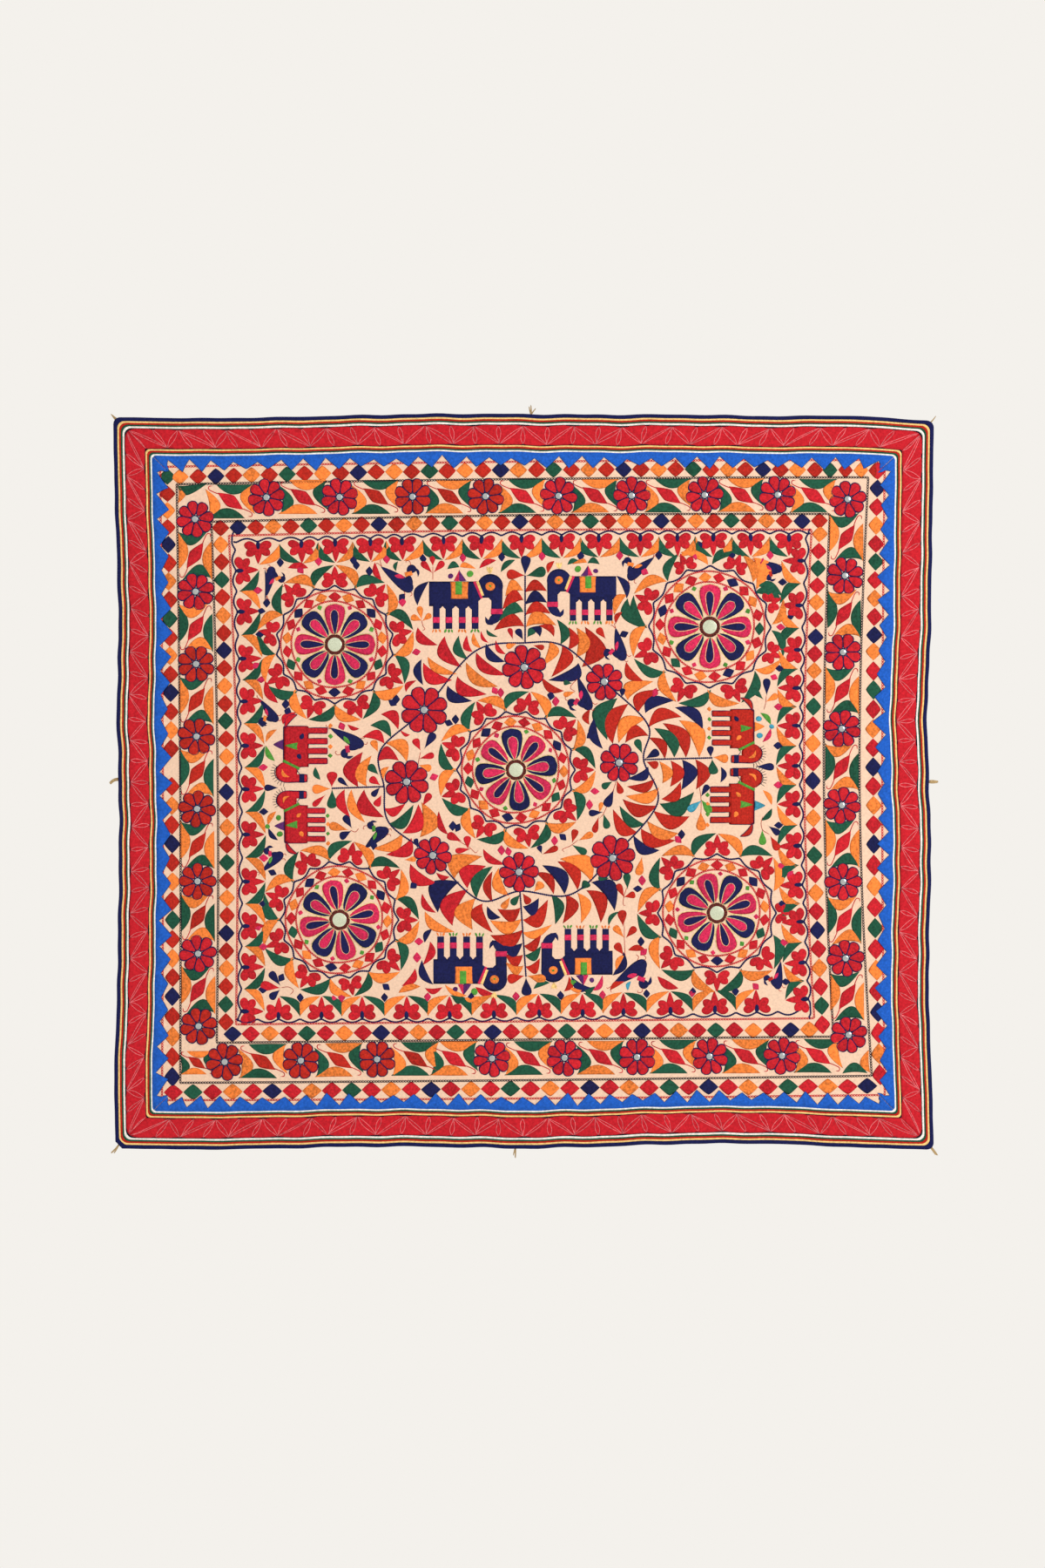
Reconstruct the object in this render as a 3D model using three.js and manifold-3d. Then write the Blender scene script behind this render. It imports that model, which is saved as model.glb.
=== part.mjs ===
// A square wall hanging of mirror-work embroidery, in the shape in which it hangs against a wall.
// A cream ground panel carries four blue strips with cut teeth. Around it run narrow folded strips,
// a quilted red border, narrow folded strips again and a navy binding. Small tapes stick out behind it.
// Millimetres, +Z up. The front faces -Y and the origin is the middle of the top edge, on the wall.
import * as THREE from "three";
import { mergeVertices } from "three/addons/utils/BufferGeometryUtils.js";
import Module from "manifold-3d";

const wasm = await Module();
wasm.setup();

// Driving dimensions
const WIDTH = 1402;
const HEIGHT = 1260;
// Between pieces that lie side by side, and between one layer and the next
const GAP = 0.35;
const LAYER_GAP = 0.6;
const WALL_CLEAR = 1.8;
const CORNER_RADIUS = 12;
const GROUND_THICKNESS = 1.6;
const TOOTH_STRIP_THICKNESS = 1.1;
const TOOTH_STRIP_LIFT = GROUND_THICKNESS + LAYER_GAP;
const TOOTH_TIP_DEPTH = 25;
const TOOTH_NOTCH_DEPTH = 8;
// How unevenly the teeth are cut: in depth, and along the strip as a share of half a tooth
const TOOTH_DEPTH_WANDER = 2.6;
const TOOTH_PITCH_WANDER = 0.09;
const QUILT_RISE = 1.0;
const MIRROR_RADIUS = 12.4;
const MIRROR_THICKNESS = 1.2;
const MIRROR_SIDES = 20;
const TIE_THICKNESS = 1.1;
const TIE_TUCK = 12;
const TIE_STEPS = 6;

// Each side of a loop has this many straight steps, then one point in the middle of the corner.
const RUN_STEPS = 16;
const SIDE_STEPS = RUN_STEPS + 2;
const LOOP_STEPS = 4 * SIDE_STEPS;
// How far the middle of a round corner lies inside the square one, as a share of its radius
const ROUND_CUT = 1 - Math.SQRT1_2;
// The share for a corner that is cut straight across
const STRAIGHT_CUT = 0.5;

const COLOURS = {
  cream: "#f3d5ad",
  blue: "#1a5cc8",
  red: "#c81e2c",
  navy: "#20205a",
  yellow: "#f5c24c",
  green: "#1c5f43",
  white: "#f4f2ea",
  black: "#1c1426",
  ecru: "#cdb48c",
};

// Narrow strips from the outer edge inwards: their width, thickness, section and colour
const OUTER_TRIM = [
  { name: "edge_binding", width: 6.4, thickness: 3.2, sides: 4, colour: "navy" },
  { name: "outer_fold_yellow", width: 3.2, thickness: 2.8, sides: 4, colour: "yellow" },
  { name: "outer_fold_red", width: 3.0, thickness: 2.6, sides: 4, colour: "red" },
  { name: "outer_fold_green", width: 2.6, thickness: 2.4, sides: 4, colour: "green" },
  { name: "outer_fold_white", width: 3.4, thickness: 2.8, sides: 4, colour: "white" },
  { name: "outer_seam_cord", width: 2.2, thickness: 2.4, sides: 3, colour: "black" },
];
const RED_BORDER = { width: 31, thickness: 2.0 };
const INNER_TRIM = [
  { name: "inner_seam_cord", width: 2.2, thickness: 2.4, sides: 3, colour: "black" },
  { name: "inner_fold_yellow", width: 3.0, thickness: 2.8, sides: 4, colour: "yellow" },
  { name: "inner_fold_red", width: 2.8, thickness: 2.6, sides: 4, colour: "red" },
  { name: "inner_fold_green", width: 2.6, thickness: 2.4, sides: 4, colour: "green" },
  { name: "inner_fold_white", width: 3.4, thickness: 2.8, sides: 4, colour: "white" },
];

// How far each edge bows outwards at every tenth of its length, left to right or top to bottom
const EDGE_BOW = {
  top: [-3, -4.5, -3, 0.5, 3, 2.5, 1.5, 1.5, -1, -0.5, -9],
  bottom: [2, 4, 2, -1, -0.5, 2, -1.5, -6, -6, 0, 4],
  left: [6, 4, -0.5, -3, 0, -3, -3.5, -2, 0, 4.5, 2.5],
  right: [5, 3.5, 1.5, -0.5, -6.5, -3, 0.5, -2.5, -3, 1.5, 5],
};

// Soft folds: the middle of each, the way it runs from the x axis, its half breadth, half reach and rise
const FOLDS = [
  { x: 340, z: -120, angle: 96, breadth: 95, reach: 260, rise: 3.0 },
  { x: -470, z: -90, angle: 40, breadth: 90, reach: 200, rise: 2.4 },
  { x: -660, z: -380, angle: 80, breadth: 100, reach: 240, rise: 3.2 },
  { x: 650, z: -540, angle: 98, breadth: 100, reach: 280, rise: 3.4 },
  { x: 330, z: -1190, angle: 12, breadth: 95, reach: 300, rise: 3.0 },
  { x: -430, z: -1150, angle: 150, breadth: 100, reach: 240, rise: 2.4 },
  { x: -60, z: -640, angle: 88, breadth: 150, reach: 520, rise: 2.0 },
];

// The four sides, clockwise from the top: the way each runs, the way it faces and its half sizes
const SIDES = [
  { name: "top", along: [1, 0], out: [0, -1], half: WIDTH / 2, reach: HEIGHT / 2, teeth: 32 },
  { name: "right", along: [0, 1], out: [1, 0], half: HEIGHT / 2, reach: WIDTH / 2, teeth: 27 },
  { name: "bottom", along: [-1, 0], out: [0, 1], half: WIDTH / 2, reach: HEIGHT / 2, teeth: 34 },
  { name: "left", along: [0, -1], out: [-1, 0], half: HEIGHT / 2, reach: WIDTH / 2, teeth: 26 },
];

// Looking glasses at the middles of the five round figures: distance across from the centre and down
const MIRRORS = [
  { name: "mirror_centre", across: -13.7, down: 610 },
  { name: "mirror_top_left", across: -325.7, down: 394.4 },
  { name: "mirror_top_right", across: 320.3, down: 364 },
  { name: "mirror_bottom_left", across: -317.6, down: 868.5 },
  { name: "mirror_bottom_right", across: 332.7, down: 856.8 },
];

// Tapes: where each leaves the edge, and its free ends with their heading from the x axis, the bend
// over the whole length, the free length, the width at the edge and the width at the tip
const TIES = [
  {
    name: "tie_top_left", across: -697, down: 3,
    ends: [{ heading: 134, bend: 0, length: 12, width: 5, tip: 1.4 }],
  },
  {
    name: "tie_top_middle", across: 13, down: 0,
    ends: [
      { heading: 112, bend: -14, length: 14, width: 3, tip: 1.6 },
      { heading: 86, bend: 10, length: 16, width: 3, tip: 1.6 },
      { heading: 58, bend: -10, length: 13, width: 2.6, tip: 1.4 },
    ],
  },
  {
    name: "tie_top_right", across: 697, down: 2,
    ends: [{ heading: 47, bend: 8, length: 13, width: 2.6, tip: 1.2 }],
  },
  {
    name: "tie_right_middle", across: 700, down: 624,
    ends: [
      { heading: 16, bend: -34, length: 19, width: 3, tip: 3 },
      { heading: -18, bend: 34, length: 19, width: 3, tip: 3 },
    ],
  },
  {
    name: "tie_bottom_right", across: 697, down: 1257,
    ends: [
      { heading: -46, bend: -8, length: 17, width: 4.4, tip: 2.2 },
      { heading: -62, bend: 10, length: 15, width: 3.6, tip: 1.8 },
    ],
  },
  {
    name: "tie_bottom_middle", across: -16, down: 1260,
    ends: [
      { heading: -84, bend: -10, length: 16, width: 3.4, tip: 2 },
      { heading: -110, bend: 8, length: 12, width: 2.6, tip: 1.4 },
    ],
  },
  {
    name: "tie_bottom_left", across: -696, down: 1255,
    ends: [
      { heading: -128, bend: -10, length: 18, width: 3, tip: 2.4 },
      { heading: -112, bend: -14, length: 15, width: 2.6, tip: 1.8 },
    ],
  },
  {
    name: "tie_left_middle", across: -700, down: 624,
    ends: [{ heading: 170, bend: 64, length: 19, width: 4.4, tip: 2.6 }],
  },
];

const { lerp, clamp, degToRad } = THREE.MathUtils;

// Edge curves through the bows, read at a share of the edge's length
const edgeCurves = {};
for (const [edge, bows] of Object.entries(EDGE_BOW)) {
  edgeCurves[edge] = new THREE.SplineCurve(bows.map((bow, i) => new THREE.Vector2(i, bow)));
}
const bowAt = (edge, share) => edgeCurves[edge].getPoint(clamp(share, 0, 1)).y;

// Height of the soft folds off the wall at a point of the face
function foldHeight(x, z) {
  let height = 0;
  for (const fold of FOLDS) {
    const turn = degToRad(fold.angle);
    const run = (x - fold.x) * Math.cos(turn) + (z - fold.z) * Math.sin(turn);
    const off = (z - fold.z) * Math.cos(turn) - (x - fold.x) * Math.sin(turn);
    height += fold.rise * Math.exp(-((run / fold.reach) ** 2) - (off / fold.breadth) ** 2);
  }
  return height;
}

// A point of the hung cloth at a place on its face and a lift in front of its back
const onFace = (x, z, lift) => new THREE.Vector3(x, -(WALL_CLEAR + lift + foldHeight(x, z)), z);

// The same from the place on the cloth as it was cut, whose edges the hanging bows
function hang(across, down, lift) {
  const s = across / WIDTH + 0.5;
  const t = down / HEIGHT;
  const x = across + lerp(-bowAt("left", t), bowAt("right", t), s);
  const z = -down + lerp(bowAt("top", s), -bowAt("bottom", s), t);
  return onFace(x, z, lift);
}

// Station of a loop that lies at an inset from the cut edge, with its corners rounded or cut
function loopPoint(station, inset, cut, lift) {
  const count = (station + LOOP_STEPS) % LOOP_STEPS;
  const side = SIDES[Math.floor(count / SIDE_STEPS)];
  const step = count % SIDE_STEPS;
  const atCorner = step > RUN_STEPS;
  const run = side.half - inset - CORNER_RADIUS;
  const p = atCorner ? side.half - inset - CORNER_RADIUS * cut : run * ((2 * step) / RUN_STEPS - 1);
  const d = atCorner ? inset + CORNER_RADIUS * cut : inset;
  const across = side.along[0] * p + side.out[0] * (side.reach - d);
  const down = HEIGHT / 2 + side.along[1] * p + side.out[1] * (side.reach - d);
  return hang(across, down, lift);
}

// A point between two stations lies on the straight line that joins them, so neighbours stay parallel
function bandPoint(station, inset, lift) {
  const first = Math.floor(station);
  const start = loopPoint(first, inset, ROUND_CUT, lift);
  return start.lerp(loopPoint(first + 1, inset, ROUND_CUT, lift), station - first);
}

// Closed geometry with shared corners and no collapsed triangles
function closedSolid(geometry) {
  geometry.deleteAttribute("normal");
  geometry.deleteAttribute("uv");
  const merged = mergeVertices(geometry);
  const kept = [];
  const index = merged.index.array;
  for (let i = 0; i < index.length; i += 3) {
    const [a, b, c] = index.subarray(i, i + 3);
    if (a !== b && b !== c && c !== a) kept.push(a, b, c);
  }
  merged.setIndex(kept);
  merged.computeVertexNormals();
  return merged;
}

// A section carried through a row of places: a ring where it closes on itself, or a strip with flat ends
function sweptSolid(sections, closed) {
  const cap = (section) => {
    const middle = new THREE.Vector3();
    section.forEach((point) => middle.addScaledVector(point, 1 / section.length));
    return section.map(() => middle);
  };
  const rows = closed ? [...sections, sections[0]] : [cap(sections[0]), ...sections, cap(sections.at(-1))];
  const sides = sections[0].length;
  const grid = new THREE.PlaneGeometry(1, 1, sides, rows.length - 1);
  const position = grid.getAttribute("position");
  rows.forEach((row, r) => {
    for (let c = 0; c <= sides; c++) {
      const point = row[c % sides];
      position.setXYZ(r * (sides + 1) + c, point.x, point.y, point.z);
    }
  });
  return closedSolid(grid);
}

function solidMesh(name, geometry, colour, finish = { roughness: 0.9, metalness: 0 }) {
  const material = new THREE.MeshStandardMaterial({ color: colour, ...finish });
  const mesh = new THREE.Mesh(geometry, material);
  mesh.name = name;
  return mesh;
}

// One narrow strip all round: a flat fold has four sides, a cord has three with its ridge in front
function trimRing(trim, inset) {
  const inner = inset + trim.width - GAP;
  const outerCut = trim.name === "edge_binding" ? STRAIGHT_CUT : ROUND_CUT;
  const sections = [];
  for (let station = 0; station < LOOP_STEPS; station++) {
    const isLowerLeft = station === 3 * SIDE_STEPS - 1;
    const cut = isLowerLeft ? outerCut : ROUND_CUT;
    const at = (d, lift, corner) => loopPoint(station, d, corner, lift);
    const back = [at(inset, 0, cut), at(inner, 0, ROUND_CUT)];
    const front =
      trim.sides === 3
        ? [at((inset + inner) / 2, trim.thickness, ROUND_CUT)]
        : [at(inner, trim.thickness, ROUND_CUT), at(inset, trim.thickness, cut)];
    sections.push([...front, ...back]);
  }
  return solidMesh(trim.name, sweptSolid(sections, true), COLOURS[trim.colour]);
}

// The share of a step that a strip's end stands back from the mitre
const MITRE_TRIM = 0.028;
const stripStart = (side) => side * SIDE_STEPS - 1 + MITRE_TRIM;
const stripEnd = (side) => side * SIDE_STEPS + RUN_STEPS + 1 - MITRE_TRIM;

// Stations of one side's strip: its ends, the loop's own stations and the strip's extra ones, in order
function stripStations(side, extra) {
  const first = stripStart(side);
  const last = stripEnd(side);
  const stations = [first, last, ...extra];
  for (let station = Math.ceil(first); station < last; station++) stations.push(station);
  const inside = stations.filter((station) => station >= first && station <= last);
  return [...new Set(inside)].sort((a, b) => a - b);
}

// Red border strip, with the cloth puffed between the lines of a stitched zigzag, one to a step
function redBorderStrip(side, inset) {
  const inner = inset + RED_BORDER.width - GAP;
  const extra = [];
  for (let quarter = 0; quarter <= 4 * RUN_STEPS; quarter++) extra.push(side * SIDE_STEPS + quarter / 4);
  const sections = stripStations(side, extra).map((station) => {
    const puff = QUILT_RISE * Math.abs(Math.cos(2 * Math.PI * station));
    return [
      bandPoint(station, inner, RED_BORDER.thickness),
      bandPoint(station, (inset + inner) / 2, RED_BORDER.thickness + puff),
      bandPoint(station, inset, RED_BORDER.thickness),
      bandPoint(station, inset, 0),
      bandPoint(station, inner, 0),
    ];
  });
  return solidMesh(`red_border_${SIDES[side].name}`, sweptSolid(sections, false), COLOURS.red);
}

// Depth of the blue strip's cut edge: straight between uneven tips and notches, cut by eye with scissors
function toothOutline(side) {
  const { teeth } = SIDES[side];
  const first = stripStart(side);
  const length = stripEnd(side) - first;
  const outline = [];
  for (let k = 0; k <= 2 * teeth; k++) {
    const wander = k % (2 * teeth) === 0 ? 0 : TOOTH_PITCH_WANDER * Math.sin(2.4 * k + side);
    const mean = k % 2 === 0 ? TOOTH_TIP_DEPTH : TOOTH_NOTCH_DEPTH;
    const depth = mean + TOOTH_DEPTH_WANDER * Math.sin(3.7 * k + 2 * side);
    outline.push({ station: first + (length * (k + wander)) / (2 * teeth), depth });
  }
  return outline;
}

function depthAt(outline, station) {
  const next = Math.max(1, outline.findIndex((row) => row.station >= station));
  const a = outline[next - 1];
  const b = outline[next];
  return lerp(a.depth, b.depth, clamp((station - a.station) / (b.station - a.station), 0, 1));
}

function toothStrip(side, inset) {
  const outline = toothOutline(side);
  const stations = stripStations(side, outline.map((row) => row.station));
  const front = TOOTH_STRIP_LIFT + TOOTH_STRIP_THICKNESS;
  const middle = side * SIDE_STEPS + RUN_STEPS / 2;
  const half = SIDES[side].half - CORNER_RADIUS;
  const sections = stations.map((station) => {
    const inner = inset + depthAt(outline, station);
    // The teeth stand square to the strip and lean with the mitre only near its ends
    const lean = Math.abs((2 * (station - middle)) / SIDE_STEPS) ** 12;
    const cut = middle + (station - middle) * lerp((half - inset) / (half - inner), 1, lean);
    return [
      bandPoint(cut, inner, front),
      bandPoint(station, inset, front),
      bandPoint(station, inset, TOOTH_STRIP_LIFT),
      bandPoint(cut, inner, TOOTH_STRIP_LIFT),
    ];
  });
  return solidMesh(`blue_strip_${SIDES[side].name}`, sweptSolid(sections, false), COLOURS.blue);
}

// Ground panel: a thin box whose edge points are the loop's stations, with its corner points drawn in
function groundPanel(inset) {
  const box = new THREE.BoxGeometry(1, 1, 1, SIDE_STEPS, SIDE_STEPS, 1);
  const position = box.getAttribute("position");
  const spread = (share, half) => {
    const step = Math.round((share + 0.5) * SIDE_STEPS);
    const isEnd = step === 0 || step === SIDE_STEPS;
    return isEnd ? half * Math.sign(share) : (half - CORNER_RADIUS) * ((2 * (step - 1)) / RUN_STEPS - 1);
  };
  for (let i = 0; i < position.count; i++) {
    let across = spread(position.getX(i), WIDTH / 2 - inset);
    let down = spread(-position.getY(i), HEIGHT / 2 - inset);
    if (Math.abs(position.getX(i)) === 0.5 && Math.abs(position.getY(i)) === 0.5) {
      across -= Math.sign(across) * CORNER_RADIUS * ROUND_CUT;
      down -= Math.sign(down) * CORNER_RADIUS * ROUND_CUT;
    }
    const lift = position.getZ(i) > 0 ? GROUND_THICKNESS : 0;
    position.setXYZ(i, ...hang(across, HEIGHT / 2 + down, lift));
  }
  return solidMesh("ground_panel", closedSolid(box), COLOURS.cream);
}

// A round glass lying on the ground panel and tilted with it
function mirror({ name, across, down }) {
  const disc = new THREE.CylinderGeometry(MIRROR_RADIUS, MIRROR_RADIUS, 1, MIRROR_SIDES);
  disc.rotateX(Math.PI / 2);
  const position = disc.getAttribute("position");
  for (let i = 0; i < position.count; i++) {
    const lift = GROUND_THICKNESS + LAYER_GAP + (position.getZ(i) > 0 ? MIRROR_THICKNESS : 0);
    position.setXYZ(i, ...onFace(across + position.getX(i), position.getY(i) - down, lift));
  }
  return solidMesh(name, closedSolid(disc), "#d9dde0", { roughness: 0.08, metalness: 1 });
}

// One free end of a tape: it starts behind the binding and bends evenly along its free length
function tapeEnd({ across, down }, end) {
  const sections = [];
  const place = new THREE.Vector2(across, -down);
  let heading = degToRad(end.heading);
  place.addScaledVector(new THREE.Vector2(Math.cos(heading), Math.sin(heading)), -TIE_TUCK);
  for (let step = 0; step <= TIE_STEPS; step++) {
    const forward = new THREE.Vector2(Math.cos(heading), Math.sin(heading));
    const sideways = new THREE.Vector2(-forward.y, forward.x);
    const half = lerp(end.width, end.tip, step / TIE_STEPS) / 2;
    const at = (offset, lift) => {
      const point = place.clone().addScaledVector(sideways, offset);
      return hang(point.x, -point.y, lift);
    };
    const front = -GAP;
    const back = front - TIE_THICKNESS;
    sections.push([at(-half, front), at(half, front), at(half, back), at(-half, back)]);
    place.addScaledVector(forward, (TIE_TUCK + end.length) / TIE_STEPS);
    heading += degToRad(end.bend) / TIE_STEPS;
  }
  return sweptSolid(sections, false);
}

const toManifold = (geometry) =>
  new wasm.Manifold(
    new wasm.Mesh({
      numProp: 3,
      vertProperties: geometry.getAttribute("position").array,
      triVerts: new Uint32Array(geometry.index.array),
    }),
  );

// A tape with its free ends joined where they lie over each other behind the binding
function tie(row) {
  const joined = row.ends.map((end) => toManifold(tapeEnd(row, end))).reduce((all, end) => all.add(end));
  const mesh = joined.getMesh();
  const geometry = new THREE.BufferGeometry();
  geometry.setAttribute("position", new THREE.BufferAttribute(mesh.vertProperties, 3));
  geometry.setIndex(new THREE.BufferAttribute(mesh.triVerts, 1));
  geometry.computeVertexNormals();
  return solidMesh(row.name, geometry, COLOURS.ecru);
}

const hanging = new THREE.Group();

let inset = 0;
for (const trim of OUTER_TRIM) {
  hanging.add(trimRing(trim, inset));
  inset += trim.width;
}
SIDES.forEach((_, side) => hanging.add(redBorderStrip(side, inset)));
inset += RED_BORDER.width;
for (const trim of INNER_TRIM) {
  hanging.add(trimRing(trim, inset));
  inset += trim.width;
}
hanging.add(groundPanel(inset));
SIDES.forEach((_, side) => hanging.add(toothStrip(side, inset)));
MIRRORS.forEach((row) => hanging.add(mirror(row)));
TIES.forEach((row) => hanging.add(tie(row)));

export default hanging;
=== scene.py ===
"""Looks of a square wall hanging of mirror-work embroidery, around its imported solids.

Lengths are millimetres on the face of the cloth, x to the right and z up from the middle of the top edge.
They become metres when a mesh is written. A lift is the distance in front of the cloth's back.
"""

from __future__ import annotations

import logging
import math
from dataclasses import dataclass, field
from enum import Enum
from functools import partial

import bpy
import numpy as np
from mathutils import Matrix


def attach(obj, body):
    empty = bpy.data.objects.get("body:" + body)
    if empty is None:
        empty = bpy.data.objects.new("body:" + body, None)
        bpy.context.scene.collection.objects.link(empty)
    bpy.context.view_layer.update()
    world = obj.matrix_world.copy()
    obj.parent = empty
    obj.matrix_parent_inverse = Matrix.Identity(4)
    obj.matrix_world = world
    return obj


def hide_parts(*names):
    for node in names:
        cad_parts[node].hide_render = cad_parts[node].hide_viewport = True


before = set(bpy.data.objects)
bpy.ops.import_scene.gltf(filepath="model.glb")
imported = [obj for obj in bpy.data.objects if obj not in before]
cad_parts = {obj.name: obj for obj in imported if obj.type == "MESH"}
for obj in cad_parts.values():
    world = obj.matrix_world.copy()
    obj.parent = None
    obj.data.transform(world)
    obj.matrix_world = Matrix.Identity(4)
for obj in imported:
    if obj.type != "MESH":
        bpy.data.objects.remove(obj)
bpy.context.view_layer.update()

LOG = logging.getLogger("hanging")
MM = 0.001
BODY = "root"
RANDOM_SEED = 20
PHOTO_HEIGHT_MM = 2700.0
Pair = tuple[float, float]
Places = np.ndarray | list[Pair] | tuple[Pair, ...]
Socket = bpy.types.NodeSocket
Piece = bpy.types.Object
Table = tuple[tuple[float, ...], ...]

# Distances of the red border's two edges from the cut edge
BORDER_EDGES = (19.6, 53.0)

# Period of a band texture at scale 1, and the scale, detail and roughness of the flecks in cloth and thread
WAVE_PERIOD = 0.314
FLECKS = (250.0, 2.5, 0.6)

# Lift of the ground's face, and heights over it of a patch's edge, a line's edge and a chain link's middle
GROUND_LIFT = 1.6
PATCH_FOOT = 0.06
LINE_FOOT = -0.1
LINK_FOOT = 0.2

# Rows and columns of a stitched patch, how far a hand strays, and steps of a line and of a chain link
PATCH_ROWS = 13
PATCH_ACROSS = np.array([-1.0, -0.72, 0.0, 0.72, 1.0])
HAND_MM = 0.6
CORD_STEPS = 24
LINK_STEPS = 7


def linear_light(screen: tuple[int, ...]) -> tuple[float, ...]:
    """Turn a screen colour into linear light.

    Args:
        screen: red, green and blue from 0 to 255.

    Returns:
        Red, green and blue from 0 to 1, and full opacity.
    """
    share = np.array(screen) / 255.0
    low = share / 12.92
    high = ((share + 0.055) / 1.055) ** 2.4
    return (*np.where(share <= 0.04045, low, high).tolist(), 1.0)


class Dye(Enum):
    """Colours of cloth and thread, as screen values from 0 to 255, each with its slot in the record."""

    CREAM = (249, 213, 186, "cream_cotton")
    BLUE = (36, 98, 202, "blue_cotton")
    BORDER_RED = (204, 34, 46, "red_cotton")
    RED = (204, 32, 44, "red_cotton")
    BRICK = (190, 40, 28, "red_cotton")
    PINK = (218, 44, 90, "red_cotton")
    ORANGE = (251, 136, 60, "yellow_cotton")
    GREEN = (30, 86, 64, "green_cotton")
    LEAF_GREEN = (84, 156, 60, "green_cotton")
    NAVY = (24, 28, 80, "navy_cotton")
    BLACK = (26, 20, 36, "black_cord")
    YELLOW = (255, 214, 136, "yellow_cotton")
    GOLD = (252, 224, 164, "yellow_cotton")
    WHITE = (250, 248, 240, "white_cotton")
    ROSE = (244, 142, 148, "red_cotton")
    PURPLE = (92, 40, 108, "navy_cotton")
    TURQUOISE = (66, 152, 180, "green_cotton")
    BROWN = (104, 42, 34, "red_cotton")
    ECRU = (184, 156, 112, "ecru_tape")

    def linear(self) -> tuple[float, ...]:
        """Return the colour in linear light."""
        return linear_light(self.value[:3])

    def slot(self) -> str:
        """Return the record's material slot."""
        return self.value[3]


class Graph:
    """A short way to add and join shader nodes."""

    def __init__(self, name: str) -> None:
        """Make a material and start from its shader.

        Args:
            name: the material's name.
        """
        self.material = bpy.data.materials.new(name)
        self.material.use_nodes = True
        self.nodes = self.material.node_tree.nodes
        self.links = self.material.node_tree.links
        self.shader = self.nodes["Principled BSDF"]

    def add(self, kind: str, **sockets: object) -> bpy.types.Node:
        """Add a node, set its plain values and join its linked ones.

        Args:
            kind: the node's type without the ShaderNode prefix.
            sockets: input names, with spaces as underscores, to values or output sockets.

        Returns:
            The new node.
        """
        node = self.nodes.new("ShaderNode" + kind)
        self.set(node, **sockets)
        return node

    def set(self, node: bpy.types.Node, **sockets: object) -> None:
        """Put values and output sockets on a node's inputs.

        Args:
            node: the node that has the inputs.
            sockets: input names, with spaces as underscores, to values or output sockets.
        """
        for name, value in sockets.items():
            socket = node.inputs[name.replace("_", " ")]
            if isinstance(value, Socket):
                self.links.new(value, socket)
            else:
                socket.default_value = value

    def ramp(self, source: Socket, low: float, high: float) -> Socket:
        """Return a value from 0 to 1 spread from low to high."""
        return self.add("MapRange", Value=source, To_Min=low, To_Max=high).outputs["Result"]

    def join(self, operation: str, *values: Socket) -> Socket:
        """Add or multiply values one after the other.

        Args:
            operation: ADD or MULTIPLY.
            values: the values.

        Returns:
            The result.
        """
        whole = values[0]
        for value in values[1:]:
            node = self.nodes.new("ShaderNodeMath")
            node.operation = operation
            self.links.new(whole, node.inputs[0])
            self.links.new(value, node.inputs[1])
            whole = node.outputs[0]
        return whole

    def bands(self, place: Socket, pitch: float, axis: str, waver: float) -> Socket:
        """Parallel bands: a sine across the axis that wavers a little.

        Args:
            place: the coordinates.
            pitch: distance from band to band.
            axis: X, Y or Z, across the bands.
            waver: how far they waver.

        Returns:
            A value from 0 to 1.
        """
        wave = self.add("TexWave", Vector=place, Scale=WAVE_PERIOD / pitch, Distortion=waver)
        wave.bands_direction = axis
        return wave.outputs["Fac"]

    def noise(self, place: Socket, scale: float, detail: float, rough: float) -> Socket:
        """Return soft random spots, so many to a metre, with finer ones laid over them."""
        node = self.add("TexNoise", Vector=place, Scale=scale, Detail=detail, Roughness=rough)
        return node.outputs["Fac"]

    def paint(self, colour: tuple[float, ...], tone: Socket) -> None:
        """Colour the shader: a plain colour times a tone.

        Args:
            colour: the plain colour in linear light.
            tone: the brightness that multiplies it.
        """
        node = self.nodes.new("ShaderNodeVectorMath")
        node.operation = "SCALE"
        node.inputs[0].default_value = colour[:3]
        self.links.new(tone, node.inputs["Scale"])
        self.set(self.shader, Base_Color=node.outputs["Vector"])

    def emboss(self, height: Socket, strength: float, depth: float) -> None:
        """Raise the shading by a relief, so much of it and so deep in metres."""
        bump = self.add("Bump", Strength=strength, Distance=depth, Height=height)
        self.set(self.shader, Normal=bump.outputs["Normal"])


@dataclass(frozen=True)
class ClothFinish:
    """Plain-woven dyed cotton: crossing threads, uneven dye and a little nap."""

    dye: Dye
    thread_mm: float = 0.9
    unevenness: float = 0.10
    fleck: float = 0.55
    bump: float = 0.35
    roughness: float = 0.88
    gloss: float = 0.12

    def slot(self) -> str:
        """Return the record's material slot."""
        return self.dye.slot()

    def material(self) -> bpy.types.Material:
        """Build the node material: crossed bands for the weave, broad patches and fine flecks for the dye.

        Returns:
            A material that reads Object coordinates, so the weave runs straight across all pieces.
        """
        graph = Graph(f"cloth_{self.dye.name.lower()}")
        place = graph.add("TexCoord").outputs["Object"]
        threads = [graph.bands(place, self.thread_mm * MM, axis, 1.2) for axis in ("X", "Z")]
        patchy = graph.ramp(graph.noise(place, 5.0, 4.0, 0.5), 0.5 - self.unevenness, 0.5 + self.unevenness)
        flecked = graph.ramp(graph.noise(place, *FLECKS), 0.5 - self.fleck, 0.5 + self.fleck)
        graph.paint(self.dye.linear(), graph.join("ADD", patchy, flecked))
        graph.emboss(graph.join("MULTIPLY", *threads), self.bump, 0.0004)
        graph.set(graph.shader, Roughness=self.roughness, Specular_IOR_Level=self.gloss)
        return graph.material


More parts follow.
